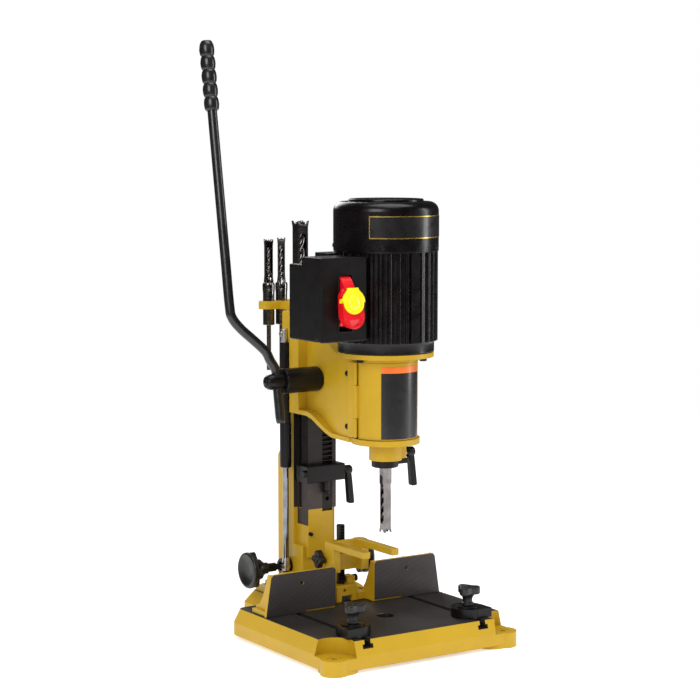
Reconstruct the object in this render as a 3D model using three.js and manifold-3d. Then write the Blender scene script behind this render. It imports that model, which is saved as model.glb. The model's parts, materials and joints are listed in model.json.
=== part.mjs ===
// Benchtop hollow-chisel mortising machine, with its lever, fence, stops and tool rack.
//
// Units are millimetres, +Z is up, +X is to the operator's right and -Y is towards the operator.
// Inside the machine group the spindle axis is X = 0, Y = 0 and the bench is Z = 0. The root group
// moves the whole machine so that its origin is the bottom centre of the whole machine's box.

import * as THREE from 'three';
import { mergeVertices } from 'three/addons/utils/BufferGeometryUtils.js';
import Module from 'manifold-3d';

const wasm = await Module();
wasm.setup();

// ---------------------------------------------------------------------------------------------
// Driving dimensions
// ---------------------------------------------------------------------------------------------

const GAP = 0.3; // clearance between pieces that touch
const FACET_SHARE = 0.5; // share of the flats asked for that a round piece gets
const BOX_CENTRE_X = -8.05; // middle of the whole machine's box, in the machine's own frame
const BOX_CENTRE_Y = 90.15;

const TABLE_TOP = 48.5;
const TABLE_HALF_WIDTH = 168.5;
const TABLE_FRONT = -109;
const TABLE_REAR = 170;
const REAR_HALF_WIDTH = 98;
const REAR_END = 282;
const SLOT_X = 107; // distance of each T-slot from the middle
const EAR_X = 157;
const EAR_Y = -97;
const EAR_SEAT = 24;

const COLUMN_FRONT = 183;
const COLUMN_HALF_WIDTH = 27;
const COLUMN_BODY_HALF = 35.5;
const COLUMN_TOP = 511;
const RACK_MODULE = 2.5;
const PINION_TEETH = 34;
const PINION_RADIUS = (RACK_MODULE * PINION_TEETH) / 2;
const RACK_X = [0.5, 19];
const HUB_Y = COLUMN_FRONT + RACK_MODULE - PINION_RADIUS; // the rack's tips are flush with the column
const HUB_Z = 409.5;

const CHAMBER_RADIUS = 50;
const CHAMBER_FLOOR = 331;
const CHAMBER_ROOF = 450.8;
const FLANGE_BOTTOM = 457;
const FLANGE_TOP = 464.5;
const BELL_TOP = 482.5;
const RIB_TOP = 619;
const COVER_TOP = 695;
const VENT_TOP = 699;
const FLANGE_RADIUS = 74;
const BODY_RADIUS = 76.5;
const RIB_RADIUS = 80;
const COVER_RADIUS = 81;
const RIB_COUNT = 36;
const HINGE_AXIS = [-52.2, 5.6]; // where the chuck door turns

const CHISEL_SIDE = 12.7;
const SHANK_RADIUS = 9.5;
const CHISEL_TIP = 181;
const CHISEL_SHOULDER = 257.6;

const LEVER_LEAN = THREE.MathUtils.degToRad(9.5);
const LEVER_INNER_X = -109.5;
const LEVER_OUTER_X = -183;
const LEVER_ROD_RADIUS = 7.6;
const ROD_HOLE_RADIUS = 8.6;

const FENCE_FACE = 85;
const FENCE_HALF = 166;
const FENCE_GAP_HALF = 37;
const FENCE_TOP = 115;
const FENCE_TAPER = 9.6;
const GUIDE_MODULE = 1.5;
const FENCE_SHAFT_Y = 230;
const FENCE_SHAFT_Z = 91.5;
const FENCE_PINION_TEETH = 30;
const ROD_Y = 128; // hold-down post

const STRUT_X = -48;
const STRUT_Y = 218.5;

// The tools that stand point up in the rack behind the column
const STORAGE_Y = 285;
const STORAGE_TOP = 524.5;
const STORED = [
  { name: 'left', x: -39, tip: 626, side: 9.6, shank: 9.5, bore: 4.4, bit: 3.9 },
  { name: 'middle', x: -14.5, tip: 628, side: 9.6, shank: 9.5, bore: 4.4, bit: 3.9 },
  { name: 'right', x: 22.5, tip: 655, side: 19, shank: 11.8, bore: 8.6, bit: 8.1 },
];

// ---------------------------------------------------------------------------------------------
// Colours
// ---------------------------------------------------------------------------------------------

const finish = (color, metalness, roughness) => ({ color, metalness, roughness });
const YELLOW = finish(0xd0a52c, 0.1, 0.45);
const BLACK = finish(0x1a1a1c, 0.1, 0.45);
const GROUND_IRON = finish(0x4b4847, 0.7, 0.45);
const STEEL = finish(0xa9adb3, 0.9, 0.25);
const CHROME = finish(0xd8dade, 1.0, 0.1);
const PLASTIC = finish(0x17181a, 0.0, 0.55);
const RED = finish(0xc81420, 0.0, 0.4);
const KEY_YELLOW = finish(0xf6d21c, 0.0, 0.4);
const BRASS = finish(0xb9923f, 0.9, 0.35);
const COPPER = finish(0xb0622f, 0.8, 0.4);

// ---------------------------------------------------------------------------------------------
// Solids: three.js makes every shape, manifold-3d joins and cuts them
// ---------------------------------------------------------------------------------------------

function solidOf(geometry) {
  const bare = geometry.clone();
  bare.deleteAttribute('normal');
  bare.deleteAttribute('uv');
  const merged = mergeVertices(bare, 1e-4);
  const mesh = new wasm.Mesh({
    numProp: 3,
    vertProperties: new Float32Array(merged.attributes.position.array),
    triVerts: new Uint32Array(merged.index.array),
  });
  return new wasm.Manifold(mesh);
}

function geometryOf(solid) {
  const mesh = solid.getMesh();
  const geometry = new THREE.BufferGeometry();
  geometry.setAttribute('position', new THREE.BufferAttribute(mesh.vertProperties, 3));
  geometry.setIndex(new THREE.BufferAttribute(mesh.triVerts, 1));
  geometry.computeVertexNormals();
  return geometry;
}

const flats = (count) => Math.max(8, 2 * Math.round((count * FACET_SHARE) / 2));
const union = (...solids) => solids.reduce((sum, solid) => sum.add(solid));
const cut = (solid, ...tools) => tools.reduce((rest, tool) => rest.subtract(tool), solid);

function box(x, y, z) {
  const geometry = new THREE.BoxGeometry(x[1] - x[0], y[1] - y[0], z[1] - z[0]);
  geometry.translate((x[0] + x[1]) / 2, (y[0] + y[1]) / 2, (z[0] + z[1]) / 2);
  return solidOf(geometry);
}

// A round bar or cone from one point to another.
function bar(from, to, radius, sides = 24, endRadius = radius) {
  const start = new THREE.Vector3(...from);
  const end = new THREE.Vector3(...to);
  const along = end.clone().sub(start);
  const geometry = new THREE.CylinderGeometry(endRadius, radius, along.length(), flats(sides));
  const turn = new THREE.Quaternion().setFromUnitVectors(new THREE.Vector3(0, 1, 0), along.normalize());
  geometry.applyQuaternion(turn);
  geometry.translate(...start.add(end).multiplyScalar(0.5).toArray());
  return solidOf(geometry);
}

const post = (x, y, z, radius, sides = 32) => bar([x, y, z[0]], [x, y, z[1]], radius, sides);
const pin = (x, y, z, radius, sides = 24) => bar([x[0], y, z], [x[1], y, z], radius, sides);

function shapeOf(points) {
  return new THREE.Shape(points.map(([u, v]) => new THREE.Vector2(u, v)));
}

// Extrudes an outline: 'xy' rises along Z, 'yz' runs along X and 'xz' runs along Y.
function prism(outline, plane, range) {
  const shape = outline instanceof THREE.Shape ? outline : shapeOf(outline);
  const depth = range[1] - range[0];
  const geometry = new THREE.ExtrudeGeometry(shape, { depth, bevelEnabled: false, curveSegments: 8 });
  if (plane === 'yz') {
    geometry.rotateX(Math.PI / 2).rotateZ(Math.PI / 2).translate(range[0], 0, 0);
  } else if (plane === 'xz') {
    geometry.rotateX(Math.PI / 2).translate(0, range[1], 0);
  } else {
    geometry.translate(0, 0, range[0]);
  }
  return solidOf(geometry);
}

// Joins two outlines with the same number of points, one at each height.
function loft(lower, upper, z) {
  const count = lower.length;
  const positions = [];
  lower.forEach(([x, y]) => positions.push(x, y, z[0]));
  upper.forEach(([x, y]) => positions.push(x, y, z[1]));
  const index = [];
  const caps = THREE.ShapeUtils.triangulateShape(lower.map(([x, y]) => new THREE.Vector2(x, y)), []);
  caps.forEach(([a, b, c]) => index.push(c, b, a, a + count, b + count, c + count));
  for (let i = 0; i < count; i += 1) {
    const next = (i + 1) % count;
    index.push(i, next, next + count, i, next + count, i + count);
  }
  const geometry = new THREE.BufferGeometry();
  geometry.setAttribute('position', new THREE.Float32BufferAttribute(positions, 3));
  geometry.setIndex(index);
  return solidOf(geometry);
}

// A rectangle with round corners, counter-clockwise, as a list of points.
function roundedRectangle(x, y, radius, steps = 4) {
  const corners = [
    [x[1] - radius, y[0] + radius, -90],
    [x[1] - radius, y[1] - radius, 0],
    [x[0] + radius, y[1] - radius, 90],
    [x[0] + radius, y[0] + radius, 180],
  ];
  return corners.flatMap(([cx, cy, start]) =>
    Array.from({ length: steps + 1 }, (_, i) => {
      const angle = THREE.MathUtils.degToRad(start + (90 * i) / steps);
      return [cx + radius * Math.cos(angle), cy + radius * Math.sin(angle)];
    }),
  );
}

// A profile of [radius, height] points in the order that makes a lathe's faces point outwards.
function lathePoints(profile) {
  const area = profile.reduce((sum, [radius, height], i) => {
    const [nextRadius, nextHeight] = profile[(i + 1) % profile.length];
    return sum + radius * nextHeight - nextRadius * height;
  }, 0);
  const ordered = area > 0 ? profile : [...profile].reverse();
  return ordered.map(([radius, height]) => new THREE.Vector2(radius, height));
}

// Turns a profile of [radius, height] points round the vertical axis at (x, y).
function turned(profile, x, y, sides = 48) {
  const geometry = new THREE.LatheGeometry(lathePoints(profile), flats(sides));
  geometry.rotateX(Math.PI / 2).translate(x, y, 0);
  return solidOf(geometry);
}

// Turns a profile of [radius, distance] points round an axis along X.
function turnedAlongX(profile, y, z, sides = 40) {
  const geometry = new THREE.LatheGeometry(lathePoints(profile), flats(sides));
  geometry.rotateZ(-Math.PI / 2).translate(0, y, z);
  return solidOf(geometry);
}

// A ring outline of alternating tips and roots: gear teeth, ribs or knob lobes.
function toothedShape(count, root, tip, rootShare, phase = 0) {
  const points = [];
  const pitch = (2 * Math.PI) / count;
  for (let i = 0; i < count; i += 1) {
    const middle = phase + i * pitch;
    [[-0.5 + rootShare / 2, root], [-0.16, tip], [0.16, tip], [0.5 - rootShare / 2, root]].forEach(
      ([share, radius]) => {
        const angle = middle + share * pitch;
        points.push(new THREE.Vector2(radius * Math.cos(angle), radius * Math.sin(angle)));
      },
    );
  }
  return new THREE.Shape(points);
}

// A wavy outline, for knobs that are gripped by their lobes.
function lobedShape(lobes, radius, wave, phase = 0, steps = 8) {
  const points = [];
  for (let i = 0; i < lobes * steps; i += 1) {
    const angle = (2 * Math.PI * i) / (lobes * steps);
    const reach = radius + wave * Math.cos(lobes * (angle - phase));
    points.push(new THREE.Vector2(reach * Math.cos(angle), reach * Math.sin(angle)));
  }
  return new THREE.Shape(points);
}

function roundedShape(x, y, radius) {
  return shapeOf(roundedRectangle(x, y, radius, 6));
}

// A strip of rack teeth as an outline: u runs along the rack, v is the height of the teeth.
function rackOutline(start, end, back, tip, module, meshPoint) {
  const pitch = Math.PI * module;
  const root = tip - Math.sign(tip - back) * 2.25 * module;
  const points = [[start, back]];
  points.push([start, root]);
  const first = meshPoint - pitch * Math.floor((meshPoint - start - pitch / 2) / pitch);
  for (let middle = first; middle < end - pitch / 2; middle += pitch) {
    points.push([middle - 0.36 * pitch, root], [middle - 0.14 * pitch, tip]);
    points.push([middle + 0.14 * pitch, tip], [middle + 0.36 * pitch, root]);
  }
  points.push([end, root], [end, back]);
  return points;
}

const machine = new THREE.Group();

function place(name, solid, look, group = machine) {
  const mesh = new THREE.Mesh(geometryOf(solid), new THREE.MeshStandardMaterial(look));
  mesh.name = name;
  group.add(mesh);
  return mesh;
}

// ---------------------------------------------------------------------------------------------
// Base and column
// ---------------------------------------------------------------------------------------------

function baseCasting() {
  const skirt = 6; // how far the sides flare out below the table's edge
  const tableX = [-TABLE_HALF_WIDTH, TABLE_HALF_WIDTH];
  const tableY = [TABLE_FRONT, TABLE_REAR];
  const outerX = [tableX[0] - skirt, tableX[1] + skirt];
  const outerY = [tableY[0] - skirt, tableY[1] + 14];
  const topLoop = roundedRectangle(tableX, tableY, 12);
  const lowLoop = roundedRectangle(outerX, outerY, 18);
  const rearLoop = roundedRectangle([-REAR_HALF_WIDTH, REAR_HALF_WIDTH], [100, REAR_END], 18);
  const rearTop = roundedRectangle([-REAR_HALF_WIDTH + 16, REAR_HALF_WIDTH - 16], [105, REAR_END - 10], 12);
  let solid = union(
    loft(lowLoop, lowLoop, [6, 26]),
    loft(lowLoop, topLoop, [26, TABLE_TOP]),
    loft(rearLoop, rearLoop, [6, 30]),
    loft(rearLoop, rearTop, [30, TABLE_TOP]),
  );
  for (const side of [-1, 1]) {
    solid = union(
      solid,
      post(side * EAR_X, EAR_Y, [0, EAR_SEAT], 21.5, 40),
      post(side * (EAR_X - 14), EAR_Y + 12, [0, 12], 30, 40),
      post(side * (REAR_HALF_WIDTH - 32), REAR_END - 32, [0, 12], 30, 40),
    );
    solid = cut(
      solid,
      bar([side * EAR_X, EAR_Y, EAR_SEAT], [side * EAR_X, EAR_Y, 60], 33, 40, 27),
      post(side * EAR_X, EAR_Y, [-1, 40], 5, 20),
      box([side * SLOT_X - 5.3, side * SLOT_X + 5.3], [-130, 122], [41.5, 60]),
      box([side * SLOT_X - 9.2, side * SLOT_X + 9.2], [-130, 126], [35.5, 42]),
    );
  }
  const cellY = [[-58, 16], [24, 96], [104, 158]];
  for (const x of [[-158, -90], [90, 158]]) {
    solid = cut(solid, ...cellY.map((y) => box(x, y, [-1, 30])));
  }
  for (const x of [[-82, -4], [4, 82]]) {
    solid = cut(solid, ...[[-104, -66], ...cellY, [166, 214]].map((y) => box(x, y, [-1, 38])));
  }
  for (const x of [[-32, -4], [4, 32]]) {
    solid = cut(solid, box(x, [222, 266], [-1, 38]));
  }
  return cut(solid, post(0, 0, [20, 60], 14, 36));
}

function columnCasting() {
  const footLow = roundedRectangle([-80, 80], [176, 270], 10);
  const footHigh = roundedRectangle([-71, 71], [184, 266.5], 8);
  const rearOutline = [
    [COLUMN_FRONT + 33, 120],
    [265, 120],
    [265, 272],
    [250, 292],
    [250, COLUMN_TOP],
    [COLUMN_FRONT + 33, COLUMN_TOP],
  ];
  const half = COLUMN_HALF_WIDTH;
  const solid = union(
    loft(footLow, footHigh, [TABLE_TOP + GAP, 58]),
    box([-COLUMN_BODY_HALF, COLUMN_BODY_HALF], [188, 265], [50, 130]),
    prism(rearOutline, 'yz', [-COLUMN_BODY_HALF, COLUMN_BODY_HALF]),
    box([-half, half], [COLUMN_FRONT, COLUMN_FRONT + 34], [120, COLUMN_TOP]),
    box([-54, -34], [210, 227], [50, 84]), // lug for the gas strut
  );
  return cut(
    solid,
    box([-half - 1, -half + 8], [203.4, 211], [189, COLUMN_TOP + 1]),
    box([half - 8, half + 1], [203.4, 211], [189, COLUMN_TOP + 1]),
    box([RACK_X[0] - GAP, RACK_X[1] + GAP], [COLUMN_FRONT - 1, 193], [185, COLUMN_TOP + 1]),
    box([20, 40], [COLUMN_FRONT - 1, 188], [110, 190]),
    box([-10, 10], [160, 300], [40, 71.5]), // tunnel for the fence's guide bar
    pin([-11, 11], FENCE_SHAFT_Y, FENCE_SHAFT_Z, 26, 32),
    pin([-50, 50], FENCE_SHAFT_Y, FENCE_SHAFT_Z, 7.4, 24),
    box([-26, 26], [232, 270], [135, 225]),
    box([-26, 26], [228, 270], [235, 325]),
    box([-26, 26], [222, 270], [335, 410]),
    box([-26, 26], [222, 270], [420, 490]),
  );
}

function columnRack() {
  const outline = rackOutline(188, 508, 192.4, COLUMN_FRONT, RACK_MODULE, HUB_Z);
  return prism(outline.map(([z, y]) => [y, z]), 'yz', RACK_X);
}

// A hollow chisel with its square body, tapered neck and round shank. It points down.
function hollowChisel({ x, y, tip, shoulder, shankEnd, side, shank, bore }) {
  const half = side / 2;
  const flare = half + 0.8;
  const neck = 14;
  const square = (reach) => [[-reach, -reach], [reach, -reach], [reach, reach], [-reach, reach]];
  const at = (reach) => square(reach).map(([u, v]) => [x + u, y + v]);
  const body = union(
    loft(at(flare), at(half), [tip, tip + 9]),
    loft(at(half), at(half), [tip + 8.9, shoulder - neck]),
    loft(at(half), at(shank * 0.7), [shoulder - neck - 0.1, shoulder]),
    post(x, y, [shoulder - 4, shankEnd], shank, 28),
  );
  const notches = [0, Math.PI / 2].map((turn) => {
    const geometry = new THREE.CylinderGeometry(side * 0.46, side * 0.46, 40, 12);
    geometry.rotateX(Math.PI / 2).rotateZ(turn).translate(x, y, tip - side * 0.22);
    return solidOf(geometry);
  });
  return cut(
    body,
    post(x, y, [tip - 5, shankEnd + 5], bore, 20),
    box([x - 30, x], [y - half * 0.55, y + half * 0.55], [tip + 18, shoulder - 22]),
    ...notches,
  );
}

// A brad-point auger bit: round shank below, two wide flutes and a spur at the top or bottom.
function augerBit({ x, y, tip, shankEnd, radius, shankRadius, way }) {
  const fluteLength = way * 62;
  const points = [];
  const steps = 10;
  for (let i = 0; i < steps; i += 1) {
    const angle = (2 * Math.PI * i) / steps;
    const reach = radius * (0.62 + 0.38 * Math.abs(Math.cos(angle)));
    const point = [reach * Math.cos(angle), reach * Math.sin(angle)];
    points.push(point);
  }
  const flutes = new THREE.ExtrudeGeometry(shapeOf(points), { depth: 62, steps: 9, bevelEnabled: false });
  const position = flutes.attributes.position;
  for (let i = 0; i < position.count; i += 1) {
    const turn = position.getZ(i) * 0.13;
    const px = position.getX(i);
    const py = position.getY(i);
    position.setX(i, px * Math.cos(turn) - py * Math.sin(turn));
    position.setY(i, px * Math.sin(turn) + py * Math.cos(turn));
  }
  flutes.translate(x, y, way > 0 ? tip + 2 : tip - 64);
  return union(
    solidOf(flutes),
    bar([x, y, tip + way * 3], [x, y, tip], radius * 0.8, 12, 0.3),
    bar([x, y, tip + fluteLength - way], [x, y, shankEnd], shankRadius, 20),
  );
}

function toolRack() {
  const z = [COLUMN_TOP + GAP, STORAGE_TOP];
  const bar = roundedShape([-56, 56], [STORAGE_Y - 13, STORAGE_Y + 13], 12.9);
  const solid = union(prism(bar, 'xy', z), box([-25, 25], [226, STORAGE_Y], z));
  const holes = STORED.map(({ x, shank }) => post(x, STORAGE_Y, [480, 560], shank + GAP, 28));
  return cut(solid, ...holes, post(-12, 240, [480, 560], 4, 20), post(12, 240, [480, 560], 4, 20));
}

// A stored chisel stands point up in the rack on a small shoulder ring.
function storedChisel({ x, tip, side, shank, bore }) {
  const pointDown = hollowChisel({
    x: 0, y: 0, tip: -tip, shoulder: -(STORAGE_TOP + 28), shankEnd: -485, side, shank, bore,
  });
  const pointUp = geometryOf(pointDown);
  pointUp.rotateY(Math.PI).translate(x, STORAGE_Y, 0);
  const ring = post(x, STORAGE_Y, [STORAGE_TOP + GAP, STORAGE_TOP + 3], shank + 2, 28);
  return union(solidOf(pointUp), cut(ring, post(x, STORAGE_Y, [500, 560], shank - 1, 20)));
}

function buildStand() {
  place('base_casting', baseCasting(), YELLOW);
  place('column_casting', columnCasting(), YELLOW);
  place('column_rack', columnRack(), GROUND_IRON);
  place('tool_rack', toolRack(), YELLOW);
  for (const tool of STORED) {
    place(`stored_chisel_${tool.name}`, storedChisel(tool), STEEL);
    const bit = augerBit({
      x: tool.x, y: STORAGE_Y, tip: tool.tip + 1, shankEnd: 410, radius: tool.bit,
      shankRadius: tool.bit * 0.8, way: -1,
    });
    place(`stored_bit_${tool.name}`, bit, STEEL);
  }
}

// ---------------------------------------------------------------------------------------------
// Gas strut and depth stop
// ---------------------------------------------------------------------------------------------

function buildStrut() {
  const rod = post(STRUT_X, STRUT_Y, [108, 330], 4.9, 20);
  place('strut_rod', rod, CHROME);
  const joint = union(
    post(STRUT_X, STRUT_Y, [86, 107.7], 6, 20),
    bar([STRUT_X - 8.5, STRUT_Y, 93], [STRUT_X + 6, STRUT_Y, 93], 4, 16),
  );
  place('strut_lower_joint', joint, STEEL);
  const tube = union(
    post(STRUT_X, STRUT_Y, [257.5, 462], 8.6, 28),
    post(STRUT_X, STRUT_Y, [257.5, 330], 9.4, 28),
  );
  place('strut_cylinder', cut(tube, post(STRUT_X, STRUT_Y, [250, 425], 5.4, 20)), BLACK);
  const upper = union(
    post(STRUT_X - 2, STRUT_Y, [462.3, 484], 6, 20),
    bar([STRUT_X - 10, STRUT_Y, 476], [STRUT_X + 6.6, STRUT_Y, 476], 4, 16),
  );
  place('strut_upper_joint', upper, STEEL);
}

// A clamping lever: a round hub on its screw and an arm that hangs from it.
function clampArm(hubX, y, z, length) {
  const hub = turnedAlongX([
    [0, hubX], [6.6, hubX], [8, hubX + 2], [7.6, hubX + 12.6], [5.6, hubX + 14], [0, hubX + 14],
  ], y, z, 24);
  const arm = prism(
    [[hubX + 3, z + 2], [hubX + 12, z + 2], [hubX + 19, z - length], [hubX + 9, z - length]],
    'xz',
    [y - 5, y + 5],
  );
  return union(hub, arm);
}

function buildDepthStop() {
  const z = [235.5, 263.5];
  const half = COLUMN_HALF_WIDTH + GAP;
  const block = union(
    box([-37, 36], [169, 182.6], z),
    box([-37, -half], [169, 202], z),
    box([half, 36], [169, 202], z),
    box([-33, -half], [201, 208.5], [239, 262]),
    box([-33, -19.5], [204, 208.5], [239, 262]),
    box([half, 33], [201, 208.5], z),
    box([19.5, 33], [204, 208.5], z),
  );
  const bore = pin([-50, 60], 175.5, 251, 3.6, 20);
  place('depth_stop_clamp', cut(block, bore), BLACK);
  place('depth_stop_stud', post(4, 175.8, [214, 235.2], 4.6, 20), STEEL);
  const screw = union(pin([-43, -37.3], 175.5, 251, 5.5, 6), pin([-38, 30], 175.5, 251, 3.3, 16));
  place('depth_stop_screw', screw, STEEL);
  const lever = cut(clampArm(36.3, 175.5, 251, 56), pin([30, 36.2], 175.5, 251, 4, 16));
  place('depth_stop_lever', lever, BLACK);
}

// ---------------------------------------------------------------------------------------------
// Head
// ---------------------------------------------------------------------------------------------

// The head's side outline: jaws behind, a sloping underside and the motor flange in front.
const HEAD_SIDE = [
  [208, 349], [157, 349], [122, 337], [82, 323], [0, 322], [0, 457], [72, 457], [112, 472], [196, 481],
  [208, 476],
];

function headCasting() {
  const half = COLUMN_HALF_WIDTH + GAP;
  const web = [
    [-46, 10], [-44, 60], [-33.5, 130], [-30, 178], [-30, 183], [30, 183], [30, 178], [33.5, 130], [44, 60],
    [46, 10],
  ];
  const webTall = prism(web, 'xy', [300, 500]).intersect(prism(HEAD_SIDE, 'yz', [-60, 60]));
  const jaws = prism(
    [[208, 349], [180, 349], [180, 479], [196, 481], [208, 476]], 'yz', [-47, 47],
  );
  const rim = prism([
    [208, 349], [157, 349], [122, 337], [82, 323], [30, 322], [30, 329], [82, 330], [120, 344], [152, 356],
    [208, 356],
  ], 'yz', [-47, 47]);
  let solid = union(
    webTall,
    jaws,
    rim,
    post(0, 0, [322, FLANGE_BOTTOM + 1], CHAMBER_RADIUS + 1, 56),
    post(0, 0, [322, CHAMBER_FLOOR], CHAMBER_RADIUS + 3, 56),
    post(0, 0, [FLANGE_BOTTOM, FLANGE_TOP], FLANGE_RADIUS, 56),
    post(0, 0, [295.3, 323], 25.5, 40),
    box([12, 33], [-9, 9], [296, 316]),
    prism(roundedShape([-46.5, -38], [466, 485], 4), 'xz', [205, 226]), // lug for the gas strut
  );
  const strutWay = post(STRUT_X - 2, STRUT_Y, [440, 500], 6.6, 20);
  const chamber = union(
    post(0, 0, [CHAMBER_FLOOR, CHAMBER_ROOF - 5], 43, 48),
    box([-90, 90], [-90, 9], [CHAMBER_FLOOR + 0.1, CHAMBER_ROOF]),
  );
  const gearBox = box([-24, 26], [62, COLUMN_FRONT + 4], [345, 456]);
  const columnWay = box([-half, half], [COLUMN_FRONT - 6, 260], [300, 520]);
  const lips = union(box([-28, -19.6], [203.8, 208], [352, 476]), box([19.6, 28], [203.8, 208], [352, 476]));
  solid = cut(solid, chamber, gearBox.intersect(insideHead()), columnWay, strutWay);
  solid = union(solid, lips);
  return cut(
    solid,
    post(0, 0, [280, 340], SHANK_RADIUS + GAP, 32),
    post(0, 0, [440, 470], 14, 32),
    post(0, 0, [446, 449.6], 18, 32),
    pin([-60, 60], HUB_Y, HUB_Z, 12.4, 28),
    pin([-60, -33], HUB_Y, HUB_Z, 21.5, 40), // spot face behind the lever's sleeve
    pin([8, 60], 0, 304, 3.6, 16),
    bar([STRUT_X - 20, STRUT_Y, 476], [STRUT_X + 12, STRUT_Y, 476], 4.4, 16),
    box([half - 0.1, half + 4.4], [186, 202], [356, 470]), // seat of the gib
    box([0, 30], [-1.2, 1.2], [290, 321]), // slit of the chisel clamp
  );
}

// The hollow inside the head keeps about 8 mm of wall along the underside.
function insideHead() {
  return prism(
    [[190, 361], [154, 361], [120, 349], [80, 336], [62, 336], [62, 449], [76, 449], [114, 464], [190, 470]],
    'yz',
    [-60, 60],
  );
}

function motorBody() {
  const ribs = toothedShape(RIB_COUNT, BODY_RADIUS, RIB_RADIUS, 0.42, -Math.PI / 2);
  const ribbed = prism(ribs, 'xy', [BELL_TOP, RIB_TOP]);
  const pad = box([-8, 8], [-RIB_RADIUS, -60], [BELL_TOP, RIB_TOP]);
  const bell = post(0, 0, [FLANGE_TOP + GAP, BELL_TOP + 1], 74.5, 56);
  const outer = union(ribbed, pad, bell);
  return cut(
    outer,
    post(0, 0, [476, RIB_TOP - 6], 69, 48),
    post(0, 0, [FLANGE_TOP - 1, RIB_TOP + 1], 9, 32),
    post(0, 0, [FLANGE_TOP - 1, FLANGE_TOP + 7], 16.3, 28),
    post(0, 0, [RIB_TOP - 12, RIB_TOP - 5], 16.3, 28),
  );
}

function fanCover() {
  const wall = 2.2;
  const shoulder = 15;
  const profile = [[0, VENT_TOP], [56, VENT_TOP], [57.5, VENT_TOP - 1.5], [57.5, COVER_TOP]];
  const arc = (radius) => Array.from({ length: 5 }, (_, i) => {
    const angle = (Math.PI / 2) * (i / 4);
    const centre = COVER_RADIUS - shoulder;
    return [centre + radius * Math.sin(angle), COVER_TOP - shoulder + radius * Math.cos(angle)];
  });
  const outside = [...profile, ...arc(shoulder), [COVER_RADIUS, RIB_TOP + GAP]];
  const rim = [COVER_RADIUS - wall, RIB_TOP + GAP];
  const inside = [rim, ...arc(shoulder - wall).reverse(), [0, COVER_TOP - wall]];
  const shell = turned([...outside, ...inside], 0, 0, 56);
  const slots = [];
  for (let row = -2; row <= 2; row += 1) {
    const reach = Math.sqrt(50 * 50 - (row * 16) ** 2);
    const y = [row * 16 - 3.5, row * 16 + 3.5];
    slots.push(box([3, reach], y, [COVER_TOP - 5, VENT_TOP + 5]));
    slots.push(box([-reach, -3], y, [COVER_TOP - 5, VENT_TOP + 5]));
  }
  return cut(shell, ...slots);
}

function buildMotor() {
  place('motor_body', motorBody(), BLACK);
  const stator = cut(post(0, 0, [500, 590], 67.8, 48), post(0, 0, [490, 600], 36, 32));
  place('motor_stator', stator, COPPER);
  place('fan_cover', fanCover(), BLACK);
  const bearing = (low) =>
    cut(post(0, 0, [low, low + 6.4], 16, 28), post(0, 0, [low - 1, low + 9], 7.8, 24));
  place('lower_bearing', bearing(FLANGE_TOP + 0.3), STEEL);
  place('upper_bearing', bearing(RIB_TOP - 11.8), STEEL);
}

function buildSpindle() {
  const shaft = union(post(0, 0, [408, 660], 7.5, 28), post(0, 0, [505, 585], 34.8, 32));
  place('rotor_shaft', shaft, STEEL);
  const blades = [];
  for (let i = 0; i < 8; i += 1) {
    const blade = new THREE.BoxGeometry(44, 2.4, 26);
    blade.translate(40, 0, 640).rotateZ((i * Math.PI) / 4);
    blades.push(solidOf(blade));
  }
  const fan = union(post(0, 0, [628, 656], 20, 32), post(0, 0, [627, 629.5], 62, 40), ...blades);
  place('cooling_fan', cut(fan, post(0, 0, [600, 700], 7.8, 28)), PLASTIC);
  const chuck = turned([
    [0, 338], [9, 338], [14, 346], [20.5, 358], [20.5, 366], [21.5, 368], [21.5, 398], [18, 402], [14, 406],
    [14, 425], [0, 425],
  ], 0, 0, 32);
  place('drill_chuck', cut(chuck, post(0, 0, [400, 430], 7.8, 28), post(0, 0, [330, 396], 4.6, 20)), STEEL);
  const bit = augerBit({
    x: 0, y: 0, tip: CHISEL_TIP - 2, shankEnd: 390, radius: 5.1, shankRadius: 4.3, way: 1,
  });
  place('auger_bit', bit, STEEL);
}

function buildChiselHolder() {
  const collar = union(
    post(-1, 0, [284.3, 295], 21, 36),
    box([0, 38], [-6, 6], [287, 295]),
  );
  place('chisel_collar', cut(collar, post(0, 0, [280, 300], SHANK_RADIUS + GAP, 32)), BLACK);
  const chisel = hollowChisel({
    x: 0, y: 0, tip: CHISEL_TIP, shoulder: CHISEL_SHOULDER, shankEnd: 325, side: CHISEL_SIDE,
    shank: SHANK_RADIUS, bore: 5.5,
  });
  place('hollow_chisel', chisel, STEEL);
  const screw = union(pin([33.3, 38], 0, 304, 5, 20), pin([12, 34], 0, 304, 3.3, 16));
  place('clamp_screw', screw, STEEL);
  place('clamp_lever', clampArm(38.3, 0, 304, 54), BLACK);
}

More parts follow.
